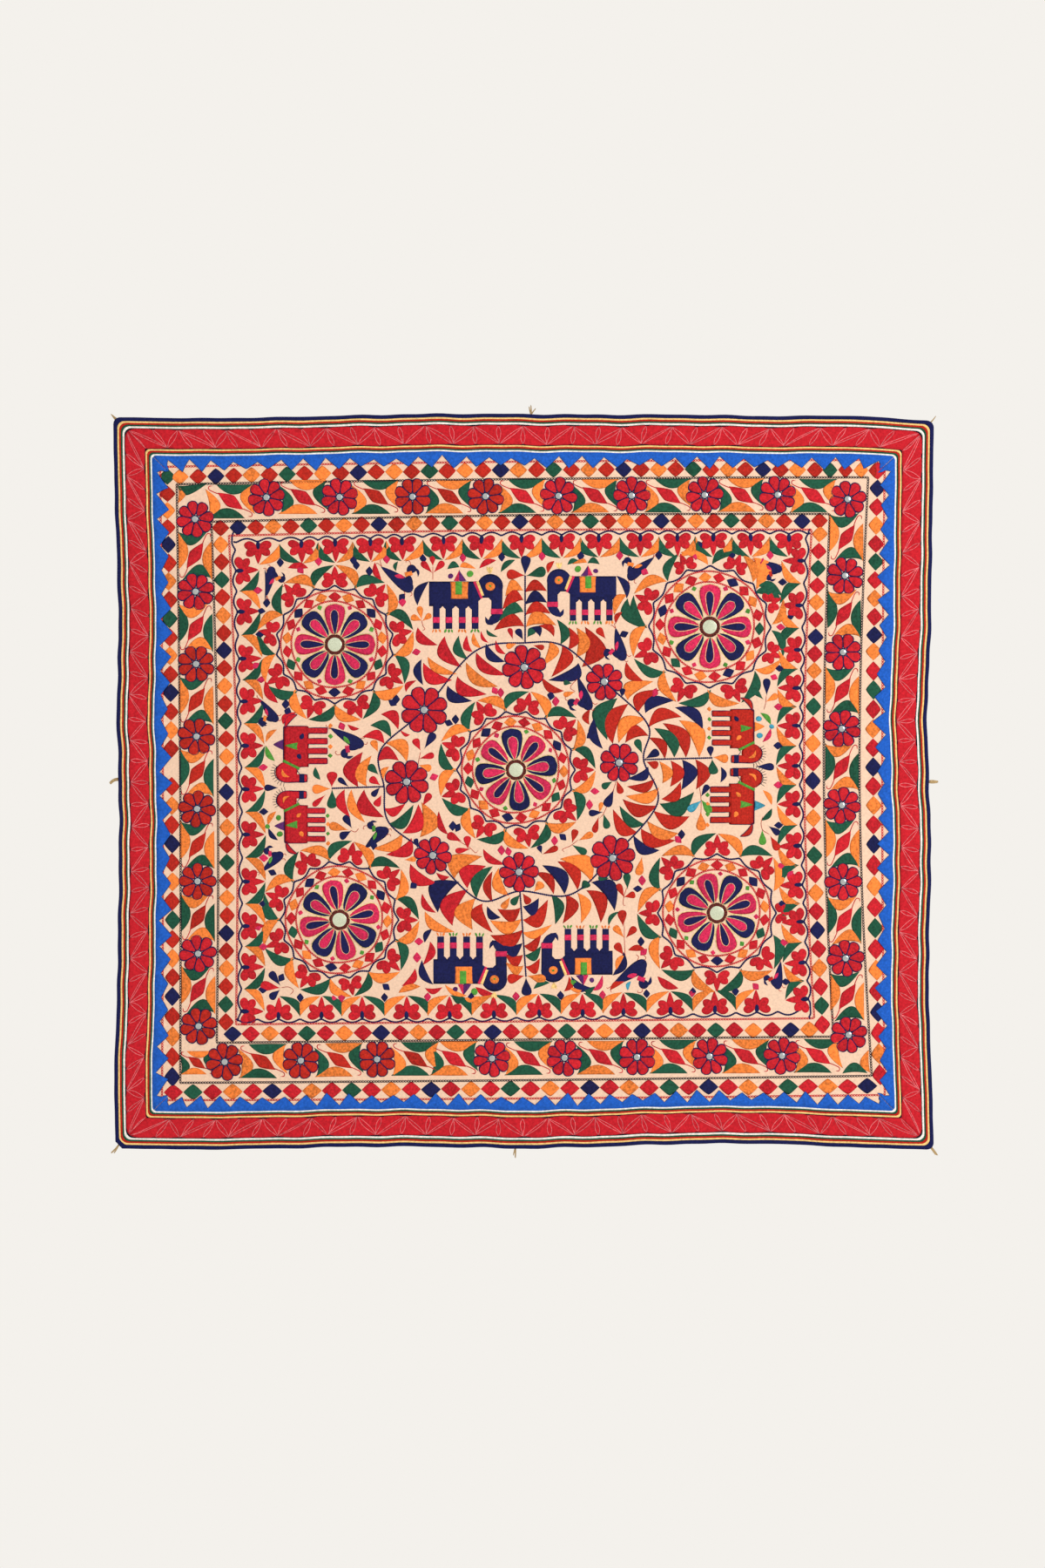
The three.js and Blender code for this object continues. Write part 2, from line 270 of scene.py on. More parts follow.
@dataclass(frozen=True)
class ThreadFinish:
    """Embroidery thread: fine stitches in rows along each patch, a tone that changes by patch, and painted
    shade in the grooves between the rows.
    """

    dye: Dye
    stitch_mm: float = 0.6
    row_mm: float = 2.3
    spread: float = 0.14
    speckle: float = 0.8
    # How far painted shade darkens the grooves between stitch rows and painted highlight lightens their
    # crests
    groove_shade: float = 0.11
    roughness: float = 0.68
    gloss: float = 0.15

    def slot(self) -> str:
        """Return the record's material slot."""
        return self.dye.slot()

    def material(self) -> bpy.types.Material:
        """Build the node material: bands for the stitches and their rows, flecks, the patch's own tone, and
        painted shade in the grooves between rows with painted highlight on their crests.

        Returns:
            A material that reads the stitch UV map, in millimetres, and the tone attribute.
        """
        graph = Graph(f"thread_{self.dye.name.lower()}")
        run = graph.add("UVMap")
        run.uv_map = "stitch"
        patch = graph.add("Attribute")
        patch.attribute_name = "tone"
        place = graph.add("TexCoord").outputs["Object"]
        stitches = graph.bands(run.outputs["UV"], self.stitch_mm, "Y", 3.0)
        rows = graph.bands(run.outputs["UV"], self.row_mm, "Y", 1.6)
        dyed = graph.ramp(patch.outputs["Fac"], 0.5 - self.spread, 0.5 + self.spread)
        worn = graph.ramp(graph.noise(place, *FLECKS), 0.5 - self.speckle, 0.5 + self.speckle)
        # Painted shade: the row bands darken the thread in the grooves between rows and lighten it on their
        # crests
        painted_groove_shade = graph.ramp(rows, -self.groove_shade, self.groove_shade)
        graph.paint(self.dye.linear(), graph.join("ADD", dyed, worn, painted_groove_shade))
        graph.emboss(graph.join("ADD", stitches, rows), 0.4, 0.0003)
        graph.set(graph.shader, Roughness=self.roughness, Specular_IOR_Level=self.gloss)
        return graph.material


@dataclass(frozen=True)
class MirrorFinish:
    """Old silvered glass: pale, a little dull and spotted where the silver is worn."""

    tint: tuple[float, float, float] = (0.86, 0.92, 0.70)

    def slot(self) -> str:
        """Return the record's material slot."""
        return "mirror_glass"

    def material(self) -> bpy.types.Material:
        """Build a metallic material.

        Returns:
            A material whose roughness and tone follow the same fine noise.
        """
        graph = Graph("mirror_glass")
        spots = graph.noise(graph.add("TexCoord").outputs["Object"], 260.0, 5.0, 0.7)
        graph.paint(self.tint, graph.ramp(spots, 0.72, 1.2))
        graph.set(graph.shader, Roughness=graph.ramp(spots, 0.12, 0.4), Metallic=1.0)
        return graph.material


Finish = ClothFinish | ThreadFinish | MirrorFinish


def cubic(f: np.ndarray, *knots: np.ndarray) -> np.ndarray:
    """A smooth cubic from the second to the third of four knots, aimed by the first and the last.

    Args:
        f: shares of the way from 0 to 1.
        knots: the four values.

    Returns:
        The values at the shares.
    """
    a, b, c, d = knots
    square = (2 * a - 5 * b + 4 * c - d) * f**2
    return 0.5 * (2 * b + (c - a) * f + square + (3 * b - a - 3 * c + d) * f**3)


@dataclass(frozen=True)
class Fold:
    """A soft fold: its middle, the way it runs from the x axis, half breadth, half reach and rise."""

    x: float
    z: float
    angle: float
    breadth: float
    reach: float
    rise: float


@dataclass(frozen=True)
class HangSurface:
    """The shape in which the cloth hangs: bowed edges, shallow folds and small puckers."""

    width: float = 1402.0
    height: float = 1260.0
    wall_clear: float = 1.8
    outer_turn: float = 12.0
    inner_turn: float = 7.5
    pucker: float = 0.45
    waver: float = 0.8
    bows: dict[str, tuple[float, ...]] = field(
        default_factory=lambda: {
            "top": (-3, -4.5, -3, 0.5, 3, 2.5, 1.5, 1.5, -1, -0.5, -9),
            "bottom": (2, 4, 2, -1, -0.5, 2, -1.5, -6, -6, 0, 4),
            "left": (6, 4, -0.5, -3, 0, -3, -3.5, -2, 0, 4.5, 2.5),
            "right": (5, 3.5, 1.5, -0.5, -6.5, -3, 0.5, -2.5, -3, 1.5, 5),
        }
    )
    folds: tuple[Fold, ...] = (
        Fold(340, -120, 96, 95, 260, 3.0),
        Fold(-470, -90, 40, 90, 200, 2.4),
        Fold(-660, -380, 80, 100, 240, 3.2),
        Fold(650, -540, 98, 100, 280, 3.4),
        Fold(330, -1190, 12, 95, 300, 3.0),
        Fold(-430, -1150, 150, 100, 240, 2.4),
        Fold(-60, -640, 88, 150, 520, 2.0),
    )

    def bow(self, edge: str, share: np.ndarray) -> np.ndarray:
        """Read an edge's outward bow: a smooth cubic curve through its values at equal steps, plus ripples.

        The ripples are two sines that fade towards the corners and start differently on each edge.

        Args:
            edge: top, bottom, left or right.
            share: place along the edge from 0 to 1.

        Returns:
            The bow at each place.
        """
        values = np.array(self.bows[edge], float)
        padded = np.concatenate([values[:1], values, values[-1:]])
        place = np.clip(share, 0.0, 1.0) * (len(values) - 1)
        first = np.minimum(place.astype(int), len(values) - 2)
        curve = cubic(place - first, *(padded[first + k] for k in range(4)))
        ripple = np.sin(68 * share + values.sum()) + 0.6 * np.sin(127 * share + 2 * values.sum())
        fade = np.sin(math.pi * np.clip(share, 0.0, 1.0))
        return curve + self.waver * fade * ripple

    def rise(self, x: np.ndarray, z: np.ndarray) -> np.ndarray:
        """Height of the cloth off the wall: bell-shaped ridges plus two crossing sets of small ripples.

        Args:
            x: places across.
            z: places up.

        Returns:
            The height at each place.
        """
        height = np.zeros(np.broadcast(x, z).shape)
        for fold in self.folds:
            turn = math.radians(fold.angle)
            run = (x - fold.x) * math.cos(turn) + (z - fold.z) * math.sin(turn)
            off = (z - fold.z) * math.cos(turn) - (x - fold.x) * math.sin(turn)
            height = height + fold.rise * np.exp(-((run / fold.reach) ** 2) - (off / fold.breadth) ** 2)
        ripple = np.sin(x / 17 + 1.3 * np.sin(z / 61)) * np.sin(z / 19 + 1.1 * np.sin(x / 53))
        drift = np.sin((x + 0.7 * z) / 43) * np.sin((z - 0.5 * x) / 57)
        return height + self.pucker * (0.6 * ripple + drift)

    def warp(self, across: np.ndarray, down: np.ndarray) -> np.ndarray:
        """Place on the face of a point of the cloth as it was cut: each edge's bow fades to the far edge.

        Args:
            across: distance from the middle.
            down: distance from the top.

        Returns:
            Pairs of x and z.
        """
        s = across / self.width + 0.5
        t = down / self.height
        x = across - (1 - s) * self.bow("left", t) + s * self.bow("right", t)
        z = -down + (1 - t) * self.bow("top", s) - t * self.bow("bottom", s)
        return np.stack([x, z], axis=-1)

    def turn(self, inset: np.ndarray | float) -> np.ndarray:
        """Return a corner's radius: wide outside the red border, tight inside, in proportion between."""
        return np.interp(inset, BORDER_EDGES, (self.outer_turn, self.inner_turn))

    def face(self, places: np.ndarray, lift: np.ndarray | float) -> np.ndarray:
        """Points in metres of places on the face at a lift.

        Args:
            places: pairs of x and z.
            lift: distance in front of the back.

        Returns:
            Points with the places' shape and three coordinates.
        """
        x = places[..., 0]
        z = places[..., 1]
        y = -(self.wall_clear + lift + self.rise(x, z))
        return np.stack([x, np.broadcast_to(y, x.shape), z], axis=-1) * MM

    def side_places(
        self, side: int, along: np.ndarray, inset: np.ndarray | float, cut: bool = False
    ) -> np.ndarray:
        """Places on one side of a loop at an inset from the cut edge, with round corners.

        From -1 to 1 the side runs straight, and from there to -2 or 2 it turns an eighth of a circle.

        Args:
            side: 0 top, 1 right, 2 bottom, 3 left, clockwise.
            along: station on the side from -2 to 2.
            inset: distance from the cut edge.
            cut: whether the lower left corner is cut straight across instead of rounded.

        Returns:
            Pairs of x and z.
        """
        half, reach = ((self.width, self.height), (self.height, self.width))[side % 2]
        radius = self.turn(inset)
        straight = half / 2 - inset - radius
        turned = np.clip(np.abs(along) - 1, 0, 1)
        angle = turned * math.pi / 4
        chord = cut & ((side == 2) & (along > 0) | (side == 3) & (along < 0))
        forward = np.where(chord, turned / 2, np.sin(angle)) * radius
        inward = np.where(chord, turned / 2, 1 - np.cos(angle)) * radius
        p = np.clip(along, -1, 1) * straight + np.sign(along) * forward
        out = reach / 2 - inset - inward
        across, below = ((p, -out), (out, p), (-p, out), (-out, -p))[side]
        return self.warp(across, below + self.height / 2)

    def station(self, share: np.ndarray, side: int, inset: float) -> np.ndarray:
        """Stations of places given as shares of a side's whole length, turns included.

        Args:
            share: places from 0 to 1.
            side: the side's number.
            inset: distance of the loop from the cut edge.

        Returns:
            Stations from -2 to 2.
        """
        radius = self.turn(inset)
        straight = (self.width, self.height)[side % 2] / 2 - inset - radius
        turn = radius * math.pi / 4
        p = (2 * share - 1) * (straight + turn)
        beyond = np.sign(p) * (1 + (np.abs(p) - straight) / turn)
        return np.where(np.abs(p) <= straight, p / straight, beyond)


@dataclass
class MeshMaker:
    """Writes arrays into meshes, dresses them and puts them on the part's body."""

    surface: HangSurface = field(default_factory=HangSurface)
    materials: dict[Finish, bpy.types.Material] = field(default_factory=dict)

    def dress(self, finish: Finish) -> bpy.types.Material:
        """Return the finish's material, built once."""
        if finish not in self.materials:
            self.materials[finish] = finish.material()
        return self.materials[finish]

    def write(
        self,
        name: str,
        points: np.ndarray,
        faces: list[np.ndarray],
        finish: Finish,
        node: str | None = None,
        uv: np.ndarray | None = None,
        tone: np.ndarray | None = None,
    ) -> Piece:
        """Make a smooth mesh object from arrays.

        Args:
            name: the piece's name.
            points: points in metres.
            faces: arrays of corner numbers, each with three or four columns.
            finish: what the piece is dressed in.
            node: the solid that the piece replaces, if any.
            uv: stitch coordinates of the points, in millimetres.
            tone: brightness step of the points from 0 to 1.

        Returns:
            The piece, riding on the body.
        """
        points = points.reshape(-1, 3)
        corners = np.concatenate([part.ravel() for part in faces]).astype(np.int32)
        sizes = np.concatenate([np.full(len(part), part.shape[1]) for part in faces]).astype(np.int32)
        starts = np.concatenate([[0], np.cumsum(sizes)[:-1]]).astype(np.int32)
        mesh = bpy.data.meshes.new(name)
        mesh.vertices.add(len(points))
        mesh.vertices.foreach_set("co", points.astype(np.float32).ravel())
        mesh.loops.add(len(corners))
        mesh.loops.foreach_set("vertex_index", corners)
        mesh.polygons.add(len(sizes))
        mesh.polygons.foreach_set("loop_start", starts)
        mesh.polygons.foreach_set("loop_total", sizes)
        mesh.polygons.foreach_set("use_smooth", np.ones(len(sizes), bool))
        if uv is not None:
            layer = mesh.uv_layers.new(name="stitch")
            layer.data.foreach_set("uv", uv.reshape(-1, 2)[corners].astype(np.float32).ravel())
        if tone is not None:
            layer = mesh.attributes.new("tone", "FLOAT", "POINT")
            layer.data.foreach_set("value", tone.astype(np.float32))
        mesh.update(calc_edges=True)
        mesh.validate()
        mesh.materials.append(self.dress(finish))
        piece = bpy.data.objects.new(name, mesh)
        bpy.context.scene.collection.objects.link(piece)
        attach(piece, BODY)
        finish.slot()
        if node is not None:
            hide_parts(node)
        LOG.info("%s: %d triangles", name, int((sizes - 2).sum()))
        return piece

    def sheet(
        self,
        name: str,
        places: np.ndarray,
        lifts: tuple[np.ndarray | float, np.ndarray | float],
        finish: Finish,
        node: str,
    ) -> Piece:
        """Return a thin closed sheet over a grid of places, from its front's lift to its back's."""
        points = np.stack([self.surface.face(places, lift) for lift in lifts])
        return self.write(name, points, slab_faces(*places.shape[:2]), finish, node)


def grid_faces(rows: int, columns: int, closed: bool = False) -> np.ndarray:
    """Corner numbers of a grid's quads, turned so that rows across columns face the viewer.

    Args:
        rows: points along.
        columns: points from the right-hand edge to the left-hand edge.
        closed: whether the last row joins the first.

    Returns:
        Quads with four columns.
    """
    r = np.arange(rows if closed else rows - 1)[:, None]
    c = np.arange(columns - 1)[None, :]
    here = r * columns + c
    ahead = ((r + 1) % rows) * columns + c
    return np.stack([here, ahead, ahead + 1, here + 1], axis=-1).reshape(-1, 4)


def copies(faces: np.ndarray, points: int, numbers: np.ndarray) -> np.ndarray:
    """Return a small mesh's faces once more for each numbered copy of its points."""
    return (faces[None] + points * numbers[:, None, None]).reshape(-1, faces.shape[1])


def slab_faces(rows: int, columns: int) -> list[np.ndarray]:
    """Faces of a thin closed sheet: a front grid, a back grid after it, and the rim that joins them.

    Args:
        rows: points along.
        columns: points across.

    Returns:
        Quads of the front, the back and the rim.
    """
    front = grid_faces(rows, columns)
    count = rows * columns
    number = np.arange(count).reshape(rows, columns)
    ring = np.concatenate([number[:, 0], number[-1, 1:], number[-2::-1, -1], number[0, -2:0:-1]])
    after = np.roll(ring, -1)
    rim = np.stack([after, ring, ring + count, after + count], axis=-1)
    return [front, front[:, ::-1] + count, rim]


class Outline(Enum):
    """How a stitched patch's half width runs from its start to its end."""

    DIAMOND = "straight to a corner in the middle"
    LEAF = "a smooth arch"
    ROUND = "half an ellipse"
    PETAL = "narrow at the start and round at the end"
    PADDLE = "soon wide and round at the end"
    SPOON = "narrow at the start and rounder at the end"
    OVAL = "narrow at the start, widest past the middle and round at the end"
    TEAR = "a thin stalk that swells to a round end"
    BLOCK = "full width with square ends"

    def widths(self) -> tuple[np.ndarray, np.ndarray]:
        """Work out the outline.

        Returns:
            Stations from 0 to 1 and the share of the half width at each.
        """
        s = np.linspace(0, 1, PATCH_ROWS)
        if self not in (Outline.DIAMOND, Outline.LEAF):
            s = (1 - np.cos(math.pi * s)) / 2
        if self is Outline.BLOCK:
            s = np.concatenate([[0, 0.003], np.linspace(0, 1, PATCH_ROWS - 2)[1:-1], [0.997, 1]])
        formulas = {
            Outline.DIAMOND: 1 - np.abs(2 * s - 1) ** 1.3,
            Outline.LEAF: np.clip(np.sin(math.pi * s), 0, 1) ** 0.9,
            Outline.ROUND: np.sqrt(np.clip(1 - (2 * s - 1) ** 2, 0, 1)),
            Outline.PETAL: s**0.72 * np.sqrt(np.clip(1 - s**5, 0, 1)) / 0.71,
            Outline.PADDLE: s**0.45 * np.sqrt(np.clip(1 - s**7, 0, 1)) / 0.82,
            Outline.SPOON: s**0.72 * np.sqrt(np.clip(1 - s**3, 0, 1)) / 0.62,
            Outline.OVAL: np.clip(np.sin(math.pi * s**1.3), 0, 1) ** 0.52,
            Outline.TEAR: s**1.5 * np.sqrt(np.clip(1 - s**2, 0, 1)) / 0.43,
            Outline.BLOCK: np.where((s > 0) & (s < 1), 1.0, 0.0),
        }
        return s, formulas[self]


@dataclass(frozen=True)
class Spot:
    """A motif's own axes on the face: a to its right and b up, before it is turned."""

    x: float
    z: float
    turn: float = 0.0
    scale: float = 1.0
    flip: bool = False

    def vectors(self, local: Places) -> np.ndarray:
        """Turn and scale local directions.

        Args:
            local: pairs along the motif's own axes.

        Returns:
            Pairs on the face.
        """
        local = np.asarray(local, float) * self.scale
        if self.flip:
            local = local * np.array([-1.0, 1.0])
        angle = math.radians(self.turn)
        matrix = np.array([[math.cos(angle), math.sin(angle)], [-math.sin(angle), math.cos(angle)]])
        return local @ matrix

    def places(self, local: Places) -> np.ndarray:
        """Return the face places of local points."""
        return self.vectors(local) + np.array([self.x, self.z])


def smooth_path(points: Places, closed: bool = False, steps: int = 12) -> np.ndarray:
    """A smooth cubic path through given points.

    Args:
        points: pairs to pass through.
        closed: whether the path returns to its start.
        steps: points made for each stretch.

    Returns:
        Pairs along the path.
    """
    points = np.asarray(points, float)
    if closed:
        padded = np.concatenate([points[-1:], points, points[:2]])
    else:
        padded = np.concatenate([2 * points[:1] - points[1:2], points, 2 * points[-1:] - points[-2:-1]])
    share = (np.arange(steps) / steps)[None, :, None]
    path = cubic(share, *(padded[k : len(padded) - 3 + k, None] for k in range(4))).reshape(-1, 2)
    return path if closed else np.concatenate([path, points[-1:]])


def even_path(path: np.ndarray, count: int, closed: bool = False) -> np.ndarray:
    """Points at equal distances along a path.

    Args:
        path: pairs along the path.
        count: how many points.
        closed: whether the path returns to its start.

    Returns:
        The even points.
    """
    if closed:
        path = np.concatenate([path, path[:1]])
    travelled = np.concatenate([[0], np.cumsum(np.linalg.norm(np.diff(path, axis=0), axis=1))])
    stops = np.linspace(0, travelled[-1], count, endpoint=not closed)
    return np.stack([np.interp(stops, travelled, path[:, k]) for k in range(2)], axis=-1)


def path_length(path: np.ndarray) -> float:
    """Return the length of an open path."""
    return float(np.linalg.norm(np.diff(path, axis=0), axis=1).sum())


@dataclass
class Needlework:
    """Collects patches, lines and looking glasses, and makes one piece of each kind and thread."""

    maker: MeshMaker
    random: np.random.Generator = field(default_factory=partial(np.random.default_rng, RANDOM_SEED))
    patches: dict[Dye, dict[Outline, list[np.ndarray]]] = field(default_factory=dict)
    cords: dict[Dye, list[tuple[np.ndarray, float, bool, np.ndarray]]] = field(default_factory=dict)
    chains: dict[Dye, list[tuple[np.ndarray, float, float, float]]] = field(default_factory=dict)
    glasses: list[Glass] = field(default_factory=list)

    def fill(
        self,
        spot: Spot,
        dye: Dye,
        start: Pair,
        end: Pair,
        left: float,
        right: float | None = None,
        outline: Outline = Outline.LEAF,
        lean: float = 0.0,
        rise: float = 0.7,
    ) -> np.ndarray:
        """Add one stitched patch between two edges that share their ends.

        Args:
            spot: the motif's axes.
            dye: the thread.
            start: local start of the patch.
            end: local end of the patch.
            left: offset of the left edge's middle, to the left of the way from start to end.
            right: offset of the other edge's middle, also counted to the left; by default it mirrors left.
            outline: how the offsets run along the patch.
            lean: how far both edges' middles move towards the end.
            rise: height of the stitches over the ground.

        Returns:
            The patch's row: start, end, the two edge offsets and the rise.
        """
        right = -left if right is None else right
        a = np.array(start, float)
        b = np.array(end, float)
        ahead = (b - a) / np.linalg.norm(b - a)
        leftward = np.array([-ahead[1], ahead[0]])
        ends = spot.places(np.stack([a, b]))
        offsets = spot.vectors(np.stack([leftward * left, leftward * right]) + ahead * lean)
        if outline is not Outline.BLOCK:
            ends = ends + self.random.uniform(-HAND_MM, HAND_MM, (2, 2))
            offsets = offsets + self.random.uniform(-HAND_MM, HAND_MM, (2, 2))
        row = np.concatenate([ends.ravel(), offsets.ravel(), [rise]])
        self.patches.setdefault(dye, {}).setdefault(outline, []).append(row)
        return row

    def rim(self, row: np.ndarray, outline: Outline, dye: Dye, width: float = 1.5) -> None:
        """Stitch a line round a patch.

        Args:
            row: the patch's row.
            outline: the patch's outline.
            dye: the thread of the line.
            width: the line's width.
        """
        s, w = outline.widths()
        fine = np.linspace(0, 1, 17)
        swell = np.interp(fine, s, w)[:, None]
        axis = row[0:2] + fine[:, None] * (row[2:4] - row[0:2])
        there = axis + swell * row[4:6]
        back = axis + swell * row[6:8]
        self.cord(np.concatenate([there, back[-2:0:-1]]), dye, width, closed=True, lift=0.3)

    def cord(
        self, path: np.ndarray, dye: Dye, width: float, closed: bool = False, lift: np.ndarray | float = 0.0
    ) -> None:
        """Add a plain stitched line.

        Args:
            path: places along the line.
            dye: the thread.
            width: the line's width.
            closed: whether it returns to its start.
            lift: height over the ground, one value or one for each of the line's steps.
        """
        even = even_path(np.asarray(path, float), CORD_STEPS, closed)
        heights = np.broadcast_to(np.asarray(lift, float), (CORD_STEPS,))
        self.cords.setdefault(dye, []).append((even, width, closed, heights))

    def chain(
        self, path: Places, dye: Dye, pitch: float, breadth: float, closed: bool = False, hole: float = 0.3
    ) -> None:
        """Add a line of chain stitch.

        Args:
            path: places along the line.
            dye: the thread.
            pitch: length of one link.
            breadth: width of one link.
            closed: whether the line returns to its start.
            hole: share of a link's width that is open, or 0 for tightly drawn links.
        """
        path = np.asarray(path, float)
        if closed:
            path = np.concatenate([path, path[:1]])
        count = max(2, round(path_length(path) / pitch))
        self.chains.setdefault(dye, []).append((even_path(path, count + 1), pitch, breadth, hole))

    def piece(
        self, kind: str, dye: Dye, points: np.ndarray, faces: list[np.ndarray], marks: np.ndarray
    ) -> Piece:
        """Return the piece of one kind and thread, each of its stitches in a random tone."""
        tone = np.repeat(self.random.random(len(points)), points[0].size // 3)
        name = f"{kind}_{dye.name.lower()}"
        return self.maker.write(name, points, faces, ThreadFinish(dye), uv=marks, tone=tone)

    def sew(self) -> list[Piece]:
        """Make all the stitched pieces.

        Returns:
            The pieces.
        """
        made = [self.sew_patches(dye) for dye in self.patches]
        made += [self.sew_cords(dye) for dye in self.cords]
        made += [self.sew_chains(dye) for dye in self.chains]
        return made

    def sew_patches(self, dye: Dye) -> Piece:
        """Make every patch of one thread: a low dome between its edges, closed by a flat underside.

        A place is the axis point plus the width share times a mix of the two edge offsets. The height is
        the rise times the root of one less the square of the place across, lower towards the ends.

        Args:
            dye: the thread.

        Returns:
            The piece.
        """
        columns = len(PATCH_ACROSS)
        inner = PATCH_ROWS - 2
        per_patch = inner * columns + 2
        points, marks, count = [], [], 0
        for outline, rows in self.patches[dye].items():
            row = np.stack(rows)
            s, w = outline.widths()
            start, end, left, right, rise = row[:, 0:2], row[:, 2:4], row[:, 4:6], row[:, 6:8], row[:, 8]
            ahead = end - start
            gap = left - right
            wrong = ahead[:, 0] * gap[:, 1] - ahead[:, 1] * gap[:, 0] < 0
            left, right = np.where(wrong[:, None], right, left), np.where(wrong[:, None], left, right)
            mix = ((PATCH_ACROSS + 1) / 2)[None, None, :, None]
            axis = start[:, None, None] + s[None, :, None, None] * ahead[:, None, None]
            sideways = right[:, None, None] * (1 - mix) + left[:, None, None] * mix
            places = axis + w[None, :, None, None] * sideways
            dome = np.sqrt(1 - PATCH_ACROSS**2)[None, None, :] * (w**0.3)[None, :, None]
            lift = GROUND_LIFT + PATCH_FOOT + rise[:, None, None] * dome
            solid = self.maker.surface.face(places, lift)
            length = np.linalg.norm(ahead, axis=1)[:, None, None]
            breadth = np.linalg.norm(gap, axis=1)[:, None, None] / 2
            along = s[None, :, None] * length + 0 * dome
            across = PATCH_ACROSS[None, None, :] * breadth + 0 * along
            mark = np.stack([along, across], axis=-1)
            for whole, store in ((solid, points), (mark, marks)):
                middle = whole[:, 1:-1].reshape(len(row), inner * columns, -1)
                store.append(np.concatenate([whole[:, :1, 2], middle, whole[:, -1:, 2]], axis=1))
            count += len(row)
        number = 1 + np.arange(inner * columns).reshape(inner, columns)
        last = per_patch - 1
        tip = [[0, number[0, c], number[0, c + 1]] for c in range(columns - 1)]
        tail = [[last, number[-1, c + 1], number[-1, c]] for c in range(columns - 1)]
        under_tips = [[0, number[0, -1], number[0, 0]], [last, number[-1, 0], number[-1, -1]]]
        under = np.stack([number[:-1, 0], number[:-1, -1], number[1:, -1], number[1:, 0]], axis=-1)
        top = grid_faces(inner, columns) + 1
        three = copies(np.array(tip + tail + under_tips), per_patch, np.arange(count))
        four = copies(np.concatenate([top, under]), per_patch, np.arange(count))
        return self.piece("stitched", dye, np.concatenate(points), [four, three], np.concatenate(marks))

    def sew_cords(self, dye: Dye) -> Piece:
        """Make every plain line of one thread: a ridge along the path, tapered where it ends.

        Args:
            dye: the thread.

        Returns:
            The piece.
        """
        rows = self.cords[dye]
        paths = np.stack([row[0] for row in rows])
        widths = np.array([row[1] for row in rows])
        closed = np.array([row[2] for row in rows])
        extra = np.stack([row[3] for row in rows])
        ahead = np.gradient(paths, axis=1)
        around = np.roll(paths, -1, axis=1) - np.roll(paths, 1, axis=1)
        ahead = np.where(closed[:, None, None], around, ahead)
        ahead /= np.linalg.norm(ahead, axis=-1, keepdims=True) + 1e-9
        leftward = np.stack([-ahead[..., 1], ahead[..., 0]], axis=-1)
        station = np.linspace(0, 1, CORD_STEPS)
        taper = np.clip(np.minimum(station, 1 - station) * 10, 0.25, 1)
        taper = np.where(closed[:, None], 1.0, taper[None])
        half = widths[:, None] * taper / 2
        across = np.array([-1.0, 0.0, 1.0])
        places = paths[:, :, None] + leftward[:, :, None] * (half[:, :, None] * across)[..., None]
        crest = np.array([0.0, 1.0, 0.0]) * (0.45 + 0.5 * half[:, :, None])
        lift = GROUND_LIFT + LINE_FOOT + extra[:, :, None] + crest
        points = self.maker.surface.face(places, lift)
        length = np.linalg.norm(np.diff(paths, axis=1), axis=-1).sum(1)
        travelled = station[None, :, None] * length[:, None, None]
        mark = np.stack(np.broadcast_arrays(travelled, across * half[:, :, None]), axis=-1)
        per_cord = CORD_STEPS * 3
        open_faces = copies(grid_faces(CORD_STEPS, 3), per_cord, np.flatnonzero(~closed))
        ring_faces = copies(grid_faces(CORD_STEPS, 3, closed=True), per_cord, np.flatnonzero(closed))
        return self.piece("line", dye, points, [open_faces, ring_faces], mark)

    def sew_chains(self, dye: Dye) -> Piece:
        """Make every chain-stitch link of one thread: a loop of thread, narrow where it starts.

        Args:
            dye: the thread.

        Returns:
            The piece.
        """
        angle = np.arange(LINK_STEPS) * 2 * math.pi / LINK_STEPS
        run = -0.72 * np.cos(angle)
        swing = 0.5 * np.sin(angle) * (1 - 0.3 * np.cos(angle))
        middles, ways, sizes = [], [], []
        for path, pitch, breadth, hole in self.chains[dye]:
            steps = np.diff(path, axis=0)
            middles.append((path[1:] + path[:-1]) / 2)
            ways.append(steps / np.linalg.norm(steps, axis=1, keepdims=True))
            sizes.append(np.full((len(steps), 3), (pitch, breadth, hole)))
        middle = np.concatenate(middles)
        way = np.concatenate(ways)
        size = np.concatenate(sizes)
        leftward = np.stack([-way[:, 1], way[:, 0]], axis=-1)
        hole = size[:, 2, None, None]
        share = np.concatenate([hole, (1 + hole) / 2, np.ones_like(hole)], axis=2)
        along = size[:, 0, None, None] * run[None, :, None] * share
        across = size[:, 1, None, None] * swing[None, :, None] * share
        crest = np.where(hole > 0, -0.1, 0.55)
        ridge = np.concatenate([crest, np.full_like(hole, 0.6), np.full_like(hole, -0.1)], axis=2)
        places = middle[:, None, None] + along[..., None] * way[:, None, None]
        places = places + across[..., None] * leftward[:, None, None]
        points = self.maker.surface.face(places, GROUND_LIFT + LINK_FOOT + ridge + 0 * along)
        per_link = LINK_STEPS * 3
        faces = copies(grid_faces(LINK_STEPS, 3, closed=True), per_link, np.arange(len(middle)))
        return self.piece("chain", dye, points, [faces], np.stack([along, across], axis=-1))


@dataclass(frozen=True)
class Glass:
    """A round looking glass: its middle, its radius and the thread that holds it down."""

    x: float
    z: float
    radius: float
    rim_dye: Dye
    rim_width: float
    node: str | None = None


